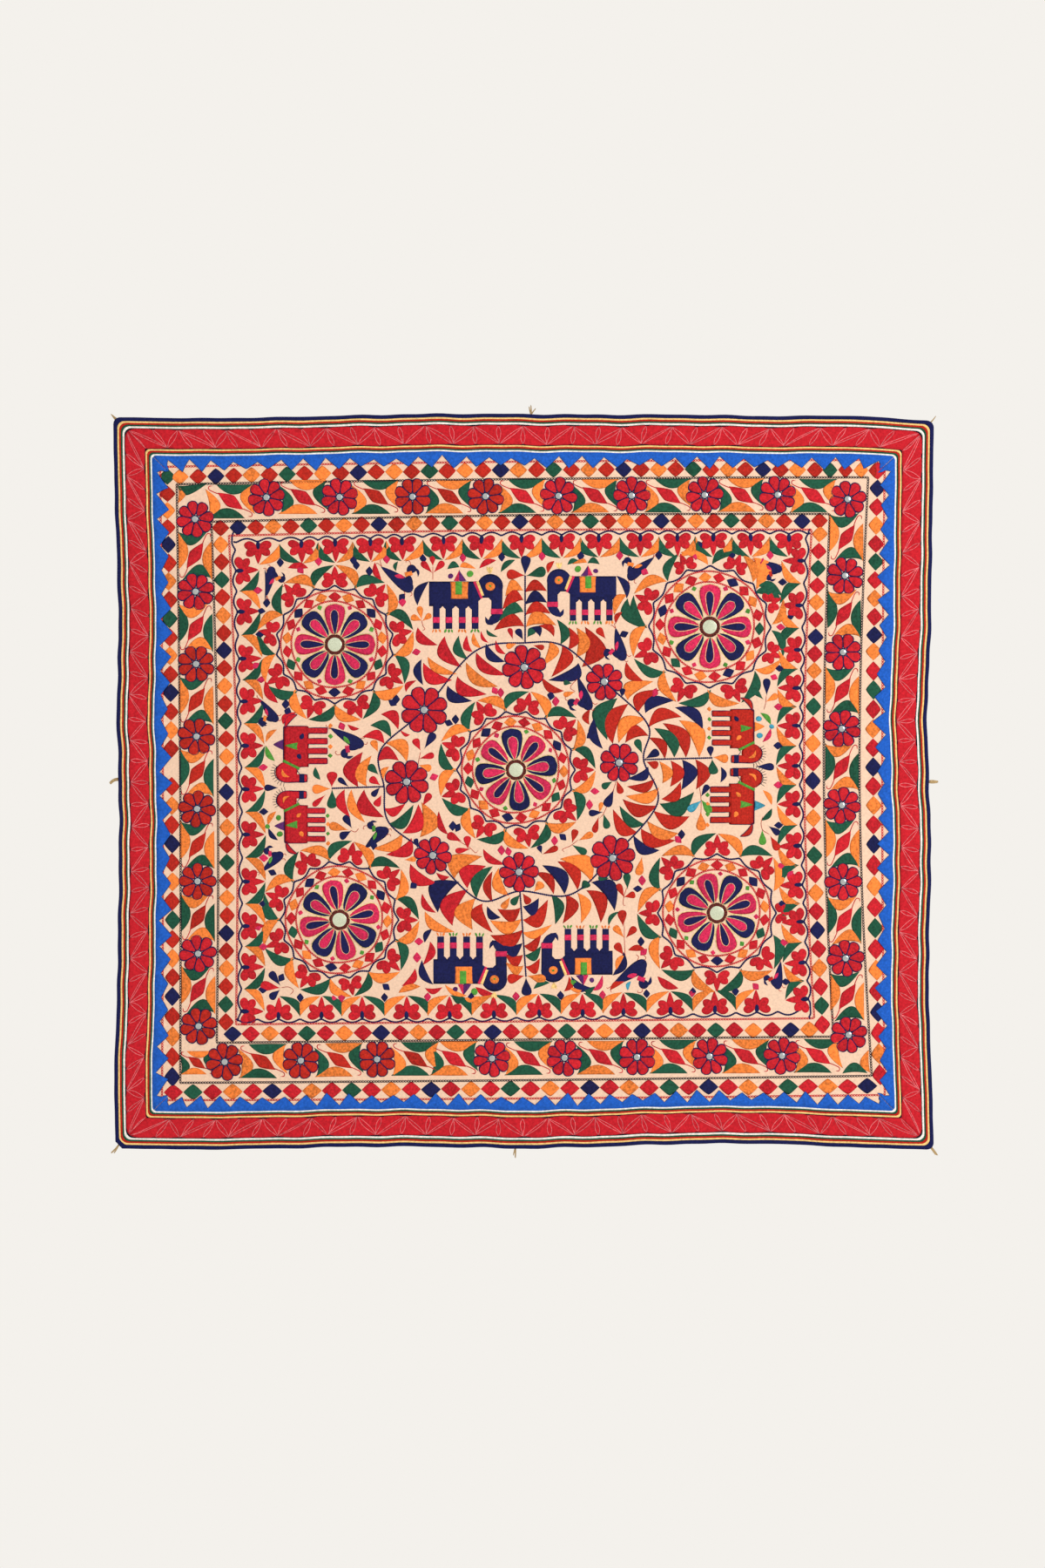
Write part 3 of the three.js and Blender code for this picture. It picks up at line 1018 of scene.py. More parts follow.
@dataclass
class MirrorWork:
    """Looking glasses with their buttonhole-stitched rims."""

    work: Needlework
    sides: int = 24
    face_share: float = 0.93
    thickness: float = 0.9
    rim_rise: float = 1.5
    small_tint: tuple[float, float, float] = (0.56, 0.59, 0.60)

    def build(self) -> list[Piece]:
        """Make the small glasses as one piece, each large one as its own, and the rims by thread.

        A glass is a flat disc with a bevelled edge; a rim is a low ring whose crest rises and falls
        once for each stitch.

        Returns:
            The pieces.
        """
        glasses = self.work.glasses
        made = [self.discs("small_mirrors", [g for g in glasses if g.node is None])]
        made += [self.discs(f"glass_{g.node}", [g]) for g in glasses if g.node is not None]
        made += [self.rims(dye) for dye in dict.fromkeys(g.rim_dye for g in glasses)]
        return made

    def discs(self, name: str, glasses: list[Glass]) -> Piece:
        """Make flat discs: a middle point, the face, the bevel and the foot as rings.

        Args:
            name: the piece's name.
            glasses: the glasses to make.

        Returns:
            The piece.
        """
        face = self.work.maker.surface.face
        angle = np.arange(self.sides) * 2 * math.pi / self.sides
        circle = np.stack([np.cos(angle), np.sin(angle)], axis=-1)
        shares = np.array([self.face_share, 1.0, 1.0])
        lifts = np.array([self.thickness, self.thickness - 0.25, -0.1]) + GROUND_LIFT
        middle = np.array([[g.x, g.z] for g in glasses])
        radius = np.array([g.radius for g in glasses])[:, None, None, None]
        places = middle[:, None, None] + radius * circle[None, None] * shares[None, :, None, None]
        rings = face(places, lifts[None, :, None]).reshape(len(glasses), -1, 3)
        top = face(middle, lifts[0])[:, None]
        bottom = face(middle, lifts[2])[:, None]
        points = np.concatenate([top, rings, bottom], axis=1)
        sides = self.sides
        k = 1 + np.arange(sides)
        after = 1 + k % sides
        fan = np.stack([0 * k, k, after], axis=-1)
        under = np.stack([0 * k + 1 + 3 * sides, 2 * sides + after, 2 * sides + k], axis=-1)
        wall = np.stack([k, k + sides, after + sides, after], axis=-1)
        numbers = np.arange(len(glasses))
        three = copies(np.concatenate([fan, under]), points.shape[1], numbers)
        four = copies(np.concatenate([wall, wall + sides]), points.shape[1], numbers)
        finish = MirrorFinish() if glasses[0].node else MirrorFinish(self.small_tint)
        return self.work.maker.write(name, points, [four, three], finish, glasses[0].node)

    def rims(self, dye: Dye) -> Piece:
        """Make the stitched rings of one thread.

        Args:
            dye: the thread.

        Returns:
            The piece.
        """
        glasses = [g for g in self.work.glasses if g.rim_dye is dye]
        steps = 3 * self.sides
        angle = np.arange(steps) * 2 * math.pi / steps
        circle = np.stack([np.cos(angle), np.sin(angle)], axis=-1)
        across = np.linspace(1, 0, 5)
        crest = np.sin(math.pi * across) ** 0.7
        stitch = 0.82 + 0.18 * np.cos(angle * self.sides)
        middle = np.array([[g.x, g.z] for g in glasses])
        inside = np.array([g.radius * self.face_share for g in glasses])
        width = np.array([g.rim_width for g in glasses])
        radius = inside[:, None, None] + width[:, None, None] * across[None, None]
        places = middle[:, None, None] + radius[..., None] * circle[None, :, None]
        rise = self.rim_rise * np.minimum(width / 3, 1)[:, None, None]
        foot = np.where(across > 0.9, -0.1, self.thickness * (1 - across))
        height = np.maximum(rise * crest * stitch[None, :, None], 0) + foot * 0.6
        points = self.work.maker.surface.face(places, GROUND_LIFT + height)
        ring = grid_faces(steps, len(across), closed=True)
        faces = copies(ring, steps * len(across), np.arange(len(glasses)))
        mark = np.stack(np.broadcast_arrays(radius, (angle * 6)[None, :, None]), axis=-1)
        tone = np.repeat(np.linspace(0.3, 0.7, len(glasses)), steps * len(across))
        name = f"mirror_rim_{dye.name.lower()}"
        return self.work.maker.write(name, points, [faces], ThreadFinish(dye), uv=mark, tone=tone)


STEP_MM = 1.5
SHEET_LEFT = -902.25
SHEET_TOP = 715.5
SHEET = Spot(SHEET_LEFT, SHEET_TOP, 0.0, STEP_MM)
FLAT = Spot(0.0, 0.0)


def spot_at(x: float, y: float, turn: float = 0.0, scale: float = 1.0, flip: bool = False) -> Spot:
    """Return a motif's axes at steps right and down on the sheet; flip mirrors it before it is turned."""
    return Spot(SHEET_LEFT + STEP_MM * x, SHEET_TOP - STEP_MM * y, turn, STEP_MM * scale, flip)


def on_sheet(points: Places) -> np.ndarray:
    """Return face places of points on the drawing sheet."""
    return SHEET.places(np.asarray(points, float) * np.array([1.0, -1.0]))


def polar(radius: float, degrees: float) -> Pair:
    """Return the point at a radius and an anticlockwise angle."""
    angle = math.radians(degrees)
    return (radius * math.cos(angle), radius * math.sin(angle))


@dataclass(frozen=True)
class Motif:
    """A figure that is stitched about its own axes."""

    work: Needlework
    spot: Spot

    def fill(self, dye: Dye, *shape: object, **options: object) -> np.ndarray:
        """Stitch one patch and return its row."""
        return self.work.fill(self.spot, dye, *shape, **options)

    def cord(self, path: Places, dye: Dye, width: float, lift: float = 0.0) -> None:
        """Stitch one plain line."""
        self.work.cord(self.spot.places(path), dye, width, lift=lift)


@dataclass(frozen=True)
class Rosette(Motif):
    """Eight round petals with a stitched outline about a small looking glass, which keeps its size."""

    dye: Dye = Dye.RED
    size: float = 1.0
    radius: float = 21.3
    half_width: float = 6.0
    petals: int = 8
    first: float = 10.0
    glass: float = 3.6
    rim_mm: float = 2.0
    line_mm: float = 2.1

    def stitch(self) -> None:
        """Stitch the flower."""
        for k in range(self.petals):
            way = 360 * k / self.petals + self.first
            start = polar(self.glass + 0.5, way)
            end = polar(self.radius * self.size, way)
            half = self.half_width * self.size
            row = self.fill(self.dye, start, end, half, outline=Outline.SPOON, rise=1.2)
            self.work.rim(row, Outline.SPOON, Dye.NAVY, self.line_mm)
        glass = Glass(self.spot.x, self.spot.z, self.glass * STEP_MM, Dye.NAVY, self.rim_mm)
        self.work.glasses.append(glass)


@dataclass(frozen=True)
class Lotus(Motif):
    """A five-petalled flower seen from the side; it points down its own axis, between two curved leaves."""

    long: float = 21.5
    reach: float = 15.8
    half_width: float = 5.0
    leaf_start: float = 1.0
    belly: float = 11.4
    hollow: float = 1.4

    def stitch(self, room: Pair, heart: bool, bud: Dye | None, leaves: tuple[bool, bool]) -> None:
        """Stitch the flower and its leaves.

        Args:
            room: steps to the places where its leaves meet those of the flowers before and after it.
            heart: whether a dark drop is worked at its base.
            bud: thread of the bud at the right-hand meeting place, if there is one.
            leaves: whether it has a leaf before it and after it.
        """
        bare = 0.08
        for number, side in enumerate((-1, 1)):
            for tip in ((self.reach * side, 1.0), (0.84 * self.reach * side, -0.53 * self.long)):
                root = (bare * tip[0], bare * tip[1] - 1.0)
                self.fill(Dye.RED, root, tip, self.half_width, outline=Outline.OVAL)
            if leaves[number]:
                start = (room[number] * side, self.leaf_start)
                end = (0.8 * side, -self.long - 1.0)
                leaf = Dye.ORANGE if side > 0 else Dye.GREEN
                self.fill(leaf, start, end, self.belly * side, self.hollow * side, lean=-3.2)
        self.fill(Dye.RED, (0, -self.long), (0, -3.0 if heart else -4.0), 4.4, outline=Outline.PETAL)
        if heart:
            self.fill(Dye.NAVY, (0, -5.0), (0, 4.2), 2.7, outline=Outline.ROUND, rise=1.1)
        if bud is not None:
            self.fill(bud, (room[1], -15.0), (room[1], -26.0), 4.2, outline=Outline.DIAMOND)


@dataclass(frozen=True)
class Medallion(Motif):
    """A round figure: petals about a larger glass, then a ring of diamonds, a wavy line and lotuses.

    Its own values are the solid of its glass, the angle of its first petal, its number of lotuses and the
    angle of the first one.
    """

    node: str
    petal_turn: float
    lotuses: int
    first: float
    glass: float = 8.3
    rim: float = 4.3
    petal_start: float = 11.0
    petal_end: float = 47.3
    half_width: float = 12.5
    inner_chain: float = 49.5
    diamonds: float = 55.6
    outer_chain: float = 61.5
    wave: float = 68.2
    lotus: float = 70.4
    lotus_sizes: tuple[float, ...] = (20.0, 15.0, 4.9, 7.0, 13.6, 1.8)
    diamond_count: int = 22

    def stitch(self) -> None:
        """Stitch the figure from its glass outwards."""
        place = (self.spot.x, self.spot.z)
        glass = Glass(*place, self.glass * STEP_MM, Dye.BROWN, self.rim * STEP_MM, self.node)
        self.work.glasses.append(glass)
        for way in range(0, 360, 15):
            stitch = [polar(self.glass + 0.4, way), polar(self.glass + self.rim - 1.0, way + 4)]
            self.cord(stitch, Dye.BLACK, 1.2, 1.2)
        for k in range(8):
            self.stitch_petal(self.petal_turn + 45 * k, k % 2)
        self.stitch_rings()
        self.stitch_lotuses()

    def stitch_petal(self, way: float, odd: int) -> None:
        """Stitch one petal with a tear inside it, pale lines about both, and a small bud beside it.

        Args:
            way: the petal's angle.
            odd: 1 for every second petal, which sets its colours, or 0.
        """
        outside, inside = ((Dye.PINK, Dye.NAVY), (Dye.NAVY, Dye.PINK))[odd]
        start = polar(self.petal_start, way)
        tip = polar(self.petal_end + 0.8 * odd, way)
        inner = polar(self.petal_end - 7.4 - 1.4 * odd, way)
        row = self.fill(outside, start, tip, self.half_width, outline=Outline.PADDLE, rise=0.6)
        self.work.rim(row, Outline.PADDLE, Dye.GOLD)
        row = self.fill(inside, start, inner, 4.7 + 1.1 * odd, outline=Outline.PETAL, rise=1.3)
        self.work.rim(row, Outline.PETAL, Dye.GOLD)
        bud = (Dye.LEAF_GREEN, Dye.PINK)[odd]
        beside = way + 22.5
        self.fill(bud, polar(42.5, beside), polar(48.5, beside), 3.0, outline=Outline.DIAMOND)

    def stitch_rings(self) -> None:
        """Stitch two chain circles that waver a little, the scalloped line and the diamonds.

        The scallops dip by the size of a sine that is zero at each lotus and between two of them.
        """
        ring = np.linspace(0, 2 * math.pi, 240, endpoint=False)
        circle = np.stack([np.cos(ring), np.sin(ring)], axis=-1)
        for radius in (self.inner_chain, self.outer_chain):
            wavering = radius + 0.6 * np.sin(5 * ring + radius)
            path = self.spot.places(wavering[:, None] * circle)
            self.work.chain(path, Dye.RED, 3.8, 3.6, closed=True, hole=0.28)
        scallops = self.wave - 4.9 * np.abs(np.sin(self.lotuses * (ring - math.radians(self.first))))
        path = self.spot.places(scallops[:, None] * circle)
        self.work.chain(path, Dye.NAVY, 3.4, 3.6, closed=True, hole=0.0)
        between = (Dye.ORANGE, Dye.NAVY, Dye.ORANGE, Dye.GREEN)
        spread = math.degrees(7.4 / self.diamonds)
        for k in range(self.diamond_count):
            way = 360 * k / self.diamond_count + self.first
            dye = between[(k // 2) % 4] if k % 2 else Dye.RED
            ends = [polar(self.diamonds, way + step) for step in (-spread, spread)]
            self.fill(dye, *ends, 5.6, outline=Outline.DIAMOND)

    def stitch_lotuses(self) -> None:
        """Stitch the lotuses; one that would pass the field's edge is smaller and may lose its leaves."""
        lower, upper = on_sheet(LOTUS_ROOM)
        boxes = [on_sheet(box) for box in ELEPHANT_BOXES]
        half_pitch = self.lotus * math.tan(math.pi / self.lotuses) * 0.96
        for k in range(self.lotuses):
            way = self.first + 360 * k / self.lotuses
            place, tip = self.spot.places([polar(self.lotus, way), polar(self.lotus + 21.0, way)])
            over = max(0.0, *(lower - tip), *(tip - upper)) / self.spot.scale
            whole = over < 11.0
            scale = self.spot.scale * max(0.78, 1 - over / 30.0)
            own = Spot(*place, way + 90, scale, flip=True)
            beside = own.places([(half_pitch, -20.5)])[0]
            taken = any(np.all((beside > low) & (beside < high)) for low, high in boxes)
            bud = (Dye.NAVY, Dye.PINK)[k % 2] if whole and not taken else None
            flower = Lotus(self.work, own, *self.lotus_sizes)
            flower.stitch((half_pitch, half_pitch), False, bud, (whole, whole))


@dataclass(frozen=True)
class BorderUnit(Motif):
    """The figure between two rosettes: a lozenge with two tendrils inside four leaves."""

    lozenge: Pair = (14.5, -9.5)
    half_width: float = 7.4
    tendril: tuple[Pair, ...] = ((12.0, -7.8), (19.0, -10.5), (24.5, -13.5), (24.5, -17.0), (20.5, -17.5))
    flat_leaf: tuple[Pair, Pair] = ((-16.5, 19.4), (28.0, 19.6))
    upright_leaf: tuple[Pair, Pair] = ((27.0, 19.6), (28.6, -14.5))

    def stitch(self, number: int, dye: Dye) -> None:
        """Stitch the figure; the leaves' colours change places from one unit to the next.

        Args:
            number: the unit's number along the border.
            dye: the lozenge's thread.
        """
        flat, upright = ((Dye.GREEN, Dye.ORANGE), (Dye.ORANGE, Dye.GREEN))[number % 2]
        end = np.array(self.lozenge)
        self.fill(dye, -end, end, self.half_width, outline=Outline.DIAMOND, rise=0.9)
        for side in (1, -1):
            self.cord(smooth_path(side * np.array(self.tendril)), Dye.RED, 1.8)
            self.fill(flat, *(side * np.array(self.flat_leaf)), -11.6, 0.0, lean=-1.5)
            self.fill(upright, *(side * np.array(self.upright_leaf)), -16.8, -3.8, lean=-3.5)


@dataclass(frozen=True)
class Bird(Motif):
    """A bird with a long tail, a bent neck with a bright band, a hooked beak and thin feet.

    Its own values are the threads of the band and of the wing.
    """

    band: Dye
    wing: Dye
    lines: tuple[tuple[Pair, ...], ...] = (
        ((9, 20), (8, 25), (4, 26), (3.5, 23.5)),
        ((1, -8.5), (2.5, -13), (-0.5, -15.5)),
        ((8.5, -8.5), (10.5, -12.5), (8, -15)),
        ((-24, 19), (-29, 23), (-31, 22)),
        ((-24, 19), (-26, 25), (-25, 27.5)),
    )

    def stitch(self) -> None:
        """Stitch the bird; its tail points to the upper left."""
        fill = self.fill
        fill(Dye.NAVY, (-25, 19.5), (11, -9), 8.2, -6.5, Outline.PETAL)
        fill(Dye.NAVY, (8.0, -7.0), (6.5, 10.0), 4.2, outline=Outline.ROUND)
        fill(Dye.NAVY, (4.5, 14.0), (15.5, 17.0), 6.0, -3.4, Outline.ROUND)
        fill(Dye.NAVY, (17.0, 7.5), (12.0, 19.0), -4.2, -0.6)
        fill(self.band, (2.6, 9.8), (10.6, 12.2), 2.8, outline=Outline.BLOCK, rise=1.1)
        fill(self.wing, (-10.0, 9.4), (2.5, 6.0), 3.2, -2.4, rise=1.2)
        for line in self.lines:
            self.cord(smooth_path(line), Dye.BRICK, 1.2)


@dataclass(frozen=True)
class NavyElephant(Motif):
    """A standing elephant in dark thread with banded legs, a saddle cloth and a canopy."""

    leg_places: tuple[float, ...] = (-20.0, -5.5, 9.8, 24.6)
    leg_half: float = 3.9

    def stitch(self) -> None:
        """Stitch the elephant; it faces right, with the middle of its body at the origin."""
        fill = self.fill
        block = Outline.BLOCK
        disc = Outline.ROUND
        fill(Dye.NAVY, (-28.5, 0.2), (28.5, 0.2), 14.3, -14.2, block, rise=0.3)
        fill(Dye.NAVY, (27.5, 5.0), (44.0, 5.0), 9.3, outline=block, rise=0.3)
        fill(Dye.NAVY, (27.0, 9.0), (56.6, 9.0), 14.6, -13.0, disc, rise=0.35)
        fill(Dye.NAVY, (49.8, 11.0), (49.4, -24.0), 6.4, outline=block, rise=0.35)
        fill(Dye.NAVY, (56.2, -19.0), (38.5, -35.5), 5.5, -5.0, rise=0.4)
        fill(Dye.NAVY, (45.5, -35.0), (36.0, -25.5), 4.8, 0.4, rise=0.4)
        fill(Dye.NAVY, (-28.5, 15.0), (-41.5, -13.0), -10.8, -0.8)
        self.stitch_legs()
        fill(Dye.PINK, (42.8, -20.0), (56.2, -20.0), 3.4, outline=block, rise=1.2)
        fill(Dye.ORANGE, (6.6, 14.0), (6.6, -5.4), 10.6, outline=block, rise=1.2)
        fill(Dye.LEAF_GREEN, (5.8, 14.2), (5.8, -0.5), 4.8, outline=block, rise=1.9)
        fill(Dye.PINK, (23.6, 14.5), (32.2, -5.0), 1.6, outline=block, rise=1.2)
        fill(Dye.YELLOW, (27.0, 14.5), (33.4, -2.0), 1.8, outline=block, rise=1.3)
        fill(Dye.ORANGE, (36.6, 9.2), (47.4, 9.2), 5.4, outline=disc, rise=1.2)
        fill(Dye.LEAF_GREEN, (40.4, 9.2), (43.6, 9.2), 1.6, outline=disc, rise=1.7)
        fill(Dye.PINK, (0.0, 15.3), (6.2, 28.0), -5.5, 0.0, Outline.DIAMOND, lean=-4.2)
        fill(Dye.PURPLE, (15.0, 15.3), (6.2, 28.0), 7.2, 0.0, Outline.DIAMOND, lean=-2.6)
        fill(Dye.GREEN, (-7.9, 28.5), (7.0, 30.5), 8.0, 0.4, lean=1.0)
        fill(Dye.ORANGE, (7.4, 31.0), (25.5, 28.8), 6.2, -0.2, lean=-4.0)
        fill(Dye.LEAF_GREEN, (14.6, 23.3), (22.4, 23.3), 3.9, outline=disc)
        fill(Dye.PURPLE, (-6.4, 20.4), (-0.4, 20.4), 3.0, outline=disc)
        for lean in (-3.2, 0.0, 3.2):
            fill(Dye.YELLOW, (41.5, 23.5), (41.5 + lean, 31.5), 1.5)

    def stitch_legs(self) -> None:
        """Stitch the legs with their bands and toes, and round the tops of the openings beside them."""
        fill = self.fill
        block = Outline.BLOCK
        sides = [(place + side * self.leg_half, -14.0) for place in self.leg_places for side in (-1, 1)]
        for x, y in [*sides[1:-1], (28.6, -4.2), (43.2, -4.2)]:
            fill(Dye.NAVY, (x - 3.2, y), (x + 3.2, y), 3.2, outline=Outline.DIAMOND, rise=0.3)
        for k, place in enumerate(self.leg_places):
            fill(Dye.NAVY, (place, -10.0), (place, -40.0), self.leg_half, outline=block, rise=0.35)
            fill(Dye.PINK, (place, -26.5), (place, -33.0), self.leg_half + 0.2, outline=block, rise=0.9)
            toe = (Dye.ORANGE, Dye.LEAF_GREEN)[k % 2]
            for slant in (-3.2, 0.0, 3.2):
                fill(toe, (place + slant * 0.8, -40.0), (place + slant * 1.5, -44.5), 1.1)


@dataclass(frozen=True)
class RedElephant(Motif):
    """An elephant in red or brick thread with a dark outline, a fringed head and a banded trunk.

    Its threads are those of its body, two spots, canopy, the canopy's two leaves and any dots beside them.
    """

    threads: tuple[Dye, ...]
    leg_places: tuple[float, ...] = (-17.8, -6.9, 3.3, 13.6)
    leg_half: float = 3.0
    belly: float = -12.0
    foot: float = -31.5
    line_mm: float = 1.3
    toes: tuple[float, ...] = (8.0, -1.4, -11.8, -23.0)
    head_line: tuple[Pair, ...] = (
        (16.5, 14.2), (19.5, 21.0), (25.2, 23.2), (31.5, 20.8), (35.6, 13.0), (35.6, 0.0), (35.4, -10.0),
        (31.4, -11.0), (27.4, -10.0), (27.3, -3.0), (24.0, -0.6), (20.0, -2.0), (19.8, -12.0),
    )

    def stitch(self) -> None:
        """Stitch the elephant; it faces right, with the middle of its body at the origin."""
        body, rear_spot, front_spot, tent, rear_leaf, front_leaf = self.threads[:6]
        fill = self.fill
        block = Outline.BLOCK
        disc = Outline.ROUND
        fill(body, (-22.5, 1.0), (19.8, 1.0), 13.0, -13.0, block, rise=0.3)
        fill(body, (14.5, 11.0), (35.8, 11.0), 12.0, -11.0, disc, rise=0.35)
        fill(body, (31.4, 12.0), (31.4, -10.4), 4.1, outline=block, rise=0.35)
        row = fill(body, (-20.5, 12.5), (-34.5, -0.5), -6.5, -1.0)
        self.work.rim(row, Outline.LEAF, Dye.NAVY, self.line_mm)
        for place in self.leg_places:
            fill(body, (place, -10.0), (place, self.foot), self.leg_half, outline=block, rise=0.35)
        self.stitch_lines()
        fill(Dye.NAVY, (27.2, -5.0), (35.6, -5.0), 3.0, outline=block, rise=1.2)
        fill(Dye.ORANGE, (30.0, 7.5), (21.5, 15.5), -5.2, -1.2, rise=1.3)
        fill(Dye.LEAF_GREEN, (21.6, -2.5), (13.2, 14.4), 1.5, outline=block, rise=1.2)
        fill(rear_spot, (-14.8, -6.6), (-9.4, -3.2), 2.6, outline=Outline.OVAL, rise=1.2)
        fill(front_spot, (11.2, -4.2), (6.4, -0.4), 2.5, outline=Outline.OVAL, rise=1.2)
        fill(Dye.LEAF_GREEN, (-6.0, -1.0), (2.5, -0.5), 13.5, 0.0, Outline.DIAMOND, rise=1.1)
        fill(tent, (-8.5, 14.4), (2.0, 14.4), 10.8, 0.0, Outline.DIAMOND)
        fill(rear_leaf, (-18.8, 21.0), (-6.0, 32.0), 5.0, -0.5)
        fill(front_leaf, (-2.2, 32.5), (13.3, 23.0), 5.0, -0.5)
        for dots in self.threads[6:]:
            for x, y, radius in ((-12.2, 19.0, 3.2), (6.0, 20.5, 3.2), (-3.7, 33.0, 2.6)):
                fill(dots, (x - radius, y), (x + radius, y), radius, outline=disc)
        for k, place in enumerate(self.toes):
            toe = (Dye.LEAF_GREEN, Dye.ORANGE)[k % 2]
            fill(toe, (place - 2.6, -34.4), (place + 2.6, -34.4), 2.4, outline=Outline.DIAMOND)

    def stitch_lines(self) -> None:
        """Sew the dark line round back, legs, head and trunk, and the fringe of the head."""
        low, foot = self.belly, self.foot
        starts = [place - self.leg_half for place in self.leg_places]
        lines = [[(starts[0], low), (-22.5, low), (-22.5, 14.0), (16.5, 14.2)], smooth_path(self.head_line)]
        for start, after in zip(starts, [*starts[1:], 19.8]):
            front = start + 2 * self.leg_half
            lines.append([(start, low), (start, foot), (front, foot), (front, low), (after, low)])
        for line in lines:
            self.cord(line, Dye.NAVY, self.line_mm, 0.2)
        for way in np.arange(123, -2, -12.5):
            root = np.array([25.2, 11.0]) + np.array([10.6, 12.0]) * polar(1.0, way)
            self.cord([root, root + polar(4.6, way)], Dye.BLACK, 1.0)


@dataclass(frozen=True)
class Frame:
    """A four-sided line on the sheet: its corners clockwise from the upper left and its sides' bows."""

    corners: tuple[Pair, Pair, Pair, Pair]
    bows: tuple[float, float, float, float]

    def side(self, number: int, shares: np.ndarray) -> np.ndarray:
        """Face places along one side: straight between the corners plus a bow, largest in the middle.

        Args:
            number: 0 top, 1 right, 2 bottom, 3 left.
            shares: places from 0 to 1, clockwise.

        Returns:
            The places.
        """
        start, end = on_sheet([self.corners[number], self.corners[(number + 1) % 4]])
        ahead = (end - start) / np.linalg.norm(end - start)
        outward = np.array([-ahead[1], ahead[0]])
        bulge = STEP_MM * self.bows[number] * np.sin(math.pi * shares)
        return start + shares[:, None] * (end - start) + bulge[:, None] * outward

    def loop(self) -> np.ndarray:
        """Return the face places of all four sides."""
        shares = np.linspace(0, 1, 40, endpoint=False)
        return np.concatenate([self.side(number, shares) for number in range(4)])


DIAMOND_CYCLE = (Dye.RED, Dye.NAVY, Dye.RED, Dye.ORANGE, Dye.RED, Dye.GREEN, Dye.RED, Dye.ORANGE)


@dataclass(frozen=True)
class DiamondRow:
    """A row of diamonds in the order of the colour cycle, with the maker's slips.

    The knots give some diamonds' numbers and their steps along the row; the others lie evenly between them.
    A skip gives a diamond's number and how many colours of the cycle were left out before it.
    """

    start: int
    knots: tuple[tuple[int, float], ...]
    skips: tuple[tuple[int, int], ...] = ()
    bare: int = -1


@dataclass(frozen=True)
class LotusRow:
    """Lotuses along one side of the field: the line's ends, its bow and each flower's place."""

    first: Pair
    last: Pair
    bow: float
    stops: tuple[float, ...]


@dataclass(frozen=True)
class RosetteRow:
    """Rosettes along one side of the border.

    The values are their turn, ends and number, what they lie between, the row's bow and the numbers of
    those that are worked in brick thread.
    """

    turn: float
    first: Pair
    last: Pair
    count: int
    before: tuple[Pair, ...] = ()
    after: tuple[Pair, ...] = ()
    bow: float = 0.0
    brick: tuple[int, ...] = ()

    def places(self) -> np.ndarray:
        """Return the flowers' places on the sheet."""
        places = np.linspace(self.first, self.last, self.count)
        places[:, 0] -= self.bow * np.sin(math.pi * np.linspace(0.02, 0.98, self.count))
        return places


CHAIN_LINES = (
    (Frame(((184, 536), (1016, 528), (1016, 1257), (186, 1263)), (2.0, -3.0, 1.0, -2.0)), Dye.RED, 4.0),
    (Frame(((203, 556), (997, 548), (1001, 1235), (207, 1243)), (2.0, -12.0, 1.0, -2.0)), Dye.BLACK, 4.3),
    (Frame(((243, 599), (953, 590), (957, 1190), (249, 1197)), (3.0, -9.0, 0.0, -4.0)), Dye.BLACK, 4.3),
    (Frame(((263, 615), (932, 608), (935, 1169), (271, 1176)), (3.0, -10.0, 0.0, -5.0)), Dye.RED, 4.0),
)
OUTER_DIAMONDS = Frame(((192, 548), (1008, 540), (1011, 1247), (198, 1254)), (4.5, -7.0, -1.0, -2.0))
OUTER_ROWS = (
    DiamondRow(7, ((0, 15), (20, 424), (36, 744), (40, 814)), ((19, 1),)),
    DiamondRow(0, ((0, 0), (9, 189), (10, 208), (20, 429), (31, 694)), ((10, 1), (20, 4))),
    DiamondRow(1, ((0, 15), (35, 812)), ((10, 2),)),
    DiamondRow(1, ((0, 18), (4, 110), (16, 373), (28, 629), (32, 707)), ((4, 4),), 16),
)
INNER_DIAMONDS = Frame(((253, 606), (942, 598), (945, 1182), (259, 1187)), (3.0, -10.0, 0.0, -4.0))
INNER_ROWS = (
    DiamondRow(0, ((0, 0), (34, 688))),
    DiamondRow(3, ((0, 15), (9, 192), (17, 362), (27, 578))),
    DiamondRow(7, ((0, 16), (31, 678)), ((1, 1), (19, 2))),
    DiamondRow(4, ((0, 14), (27, 562))),
)
LOTUS_ROWS = (
    LotusRow((296, 626), (906, 617), 3.0,
             (0, 50, 89, 129, 166, 213, 257, 303, 349, 392, 439, 482, 523, 566, 610)),
    LotusRow((920, 644), (924, 1147), -8.0, (0, 51, 102, 146, 189, 235, 279, 327, 372, 414, 461, 503)),
    LotusRow((869, 1158), (320, 1166), 2.0, (0, 48, 99, 153, 200, 250, 302, 353, 402, 453, 500, 549)),
    LotusRow((281, 1161), (275, 655), -4.0, (0, 51, 98, 149, 203, 255, 305, 356, 405, 459, 506)),
)
ROSETTE_ROWS = (
    RosetteRow(0, (306, 571), (893, 568), 8, ((223, 580),), ((975, 570),), brick=(2, 3)),
    RosetteRow(90, (974, 573), (975, 1188), 8, bow=8.0),
    RosetteRow(0, (258, 1219), (433, 1216), 3, after=((521, 1215),), brick=(0, 1, 2)),
    RosetteRow(0, (565, 1215), (898, 1212), 5, ((477, 1215),), ((980, 1212),)),
    RosetteRow(90, (224, 596), (228, 1178), 8, brick=(2, 3, 4, 5, 7)),
)
MEDALLIONS = (
    (592.4, 883.8, 1.0, "mirror_centre", 142, 9, 80),
    (384.4, 739.9, 1.0, "mirror_top_left", 90, 9, 90),
    (815.0, 719.6, 1.035, "mirror_top_right", 90, 8, 112),
    (389.8, 1056.0, 1.0, "mirror_bottom_left", 102, 9, 80),
    (823.3, 1048.2, 1.0, "mirror_bottom_right", 107, 8, 90),
)

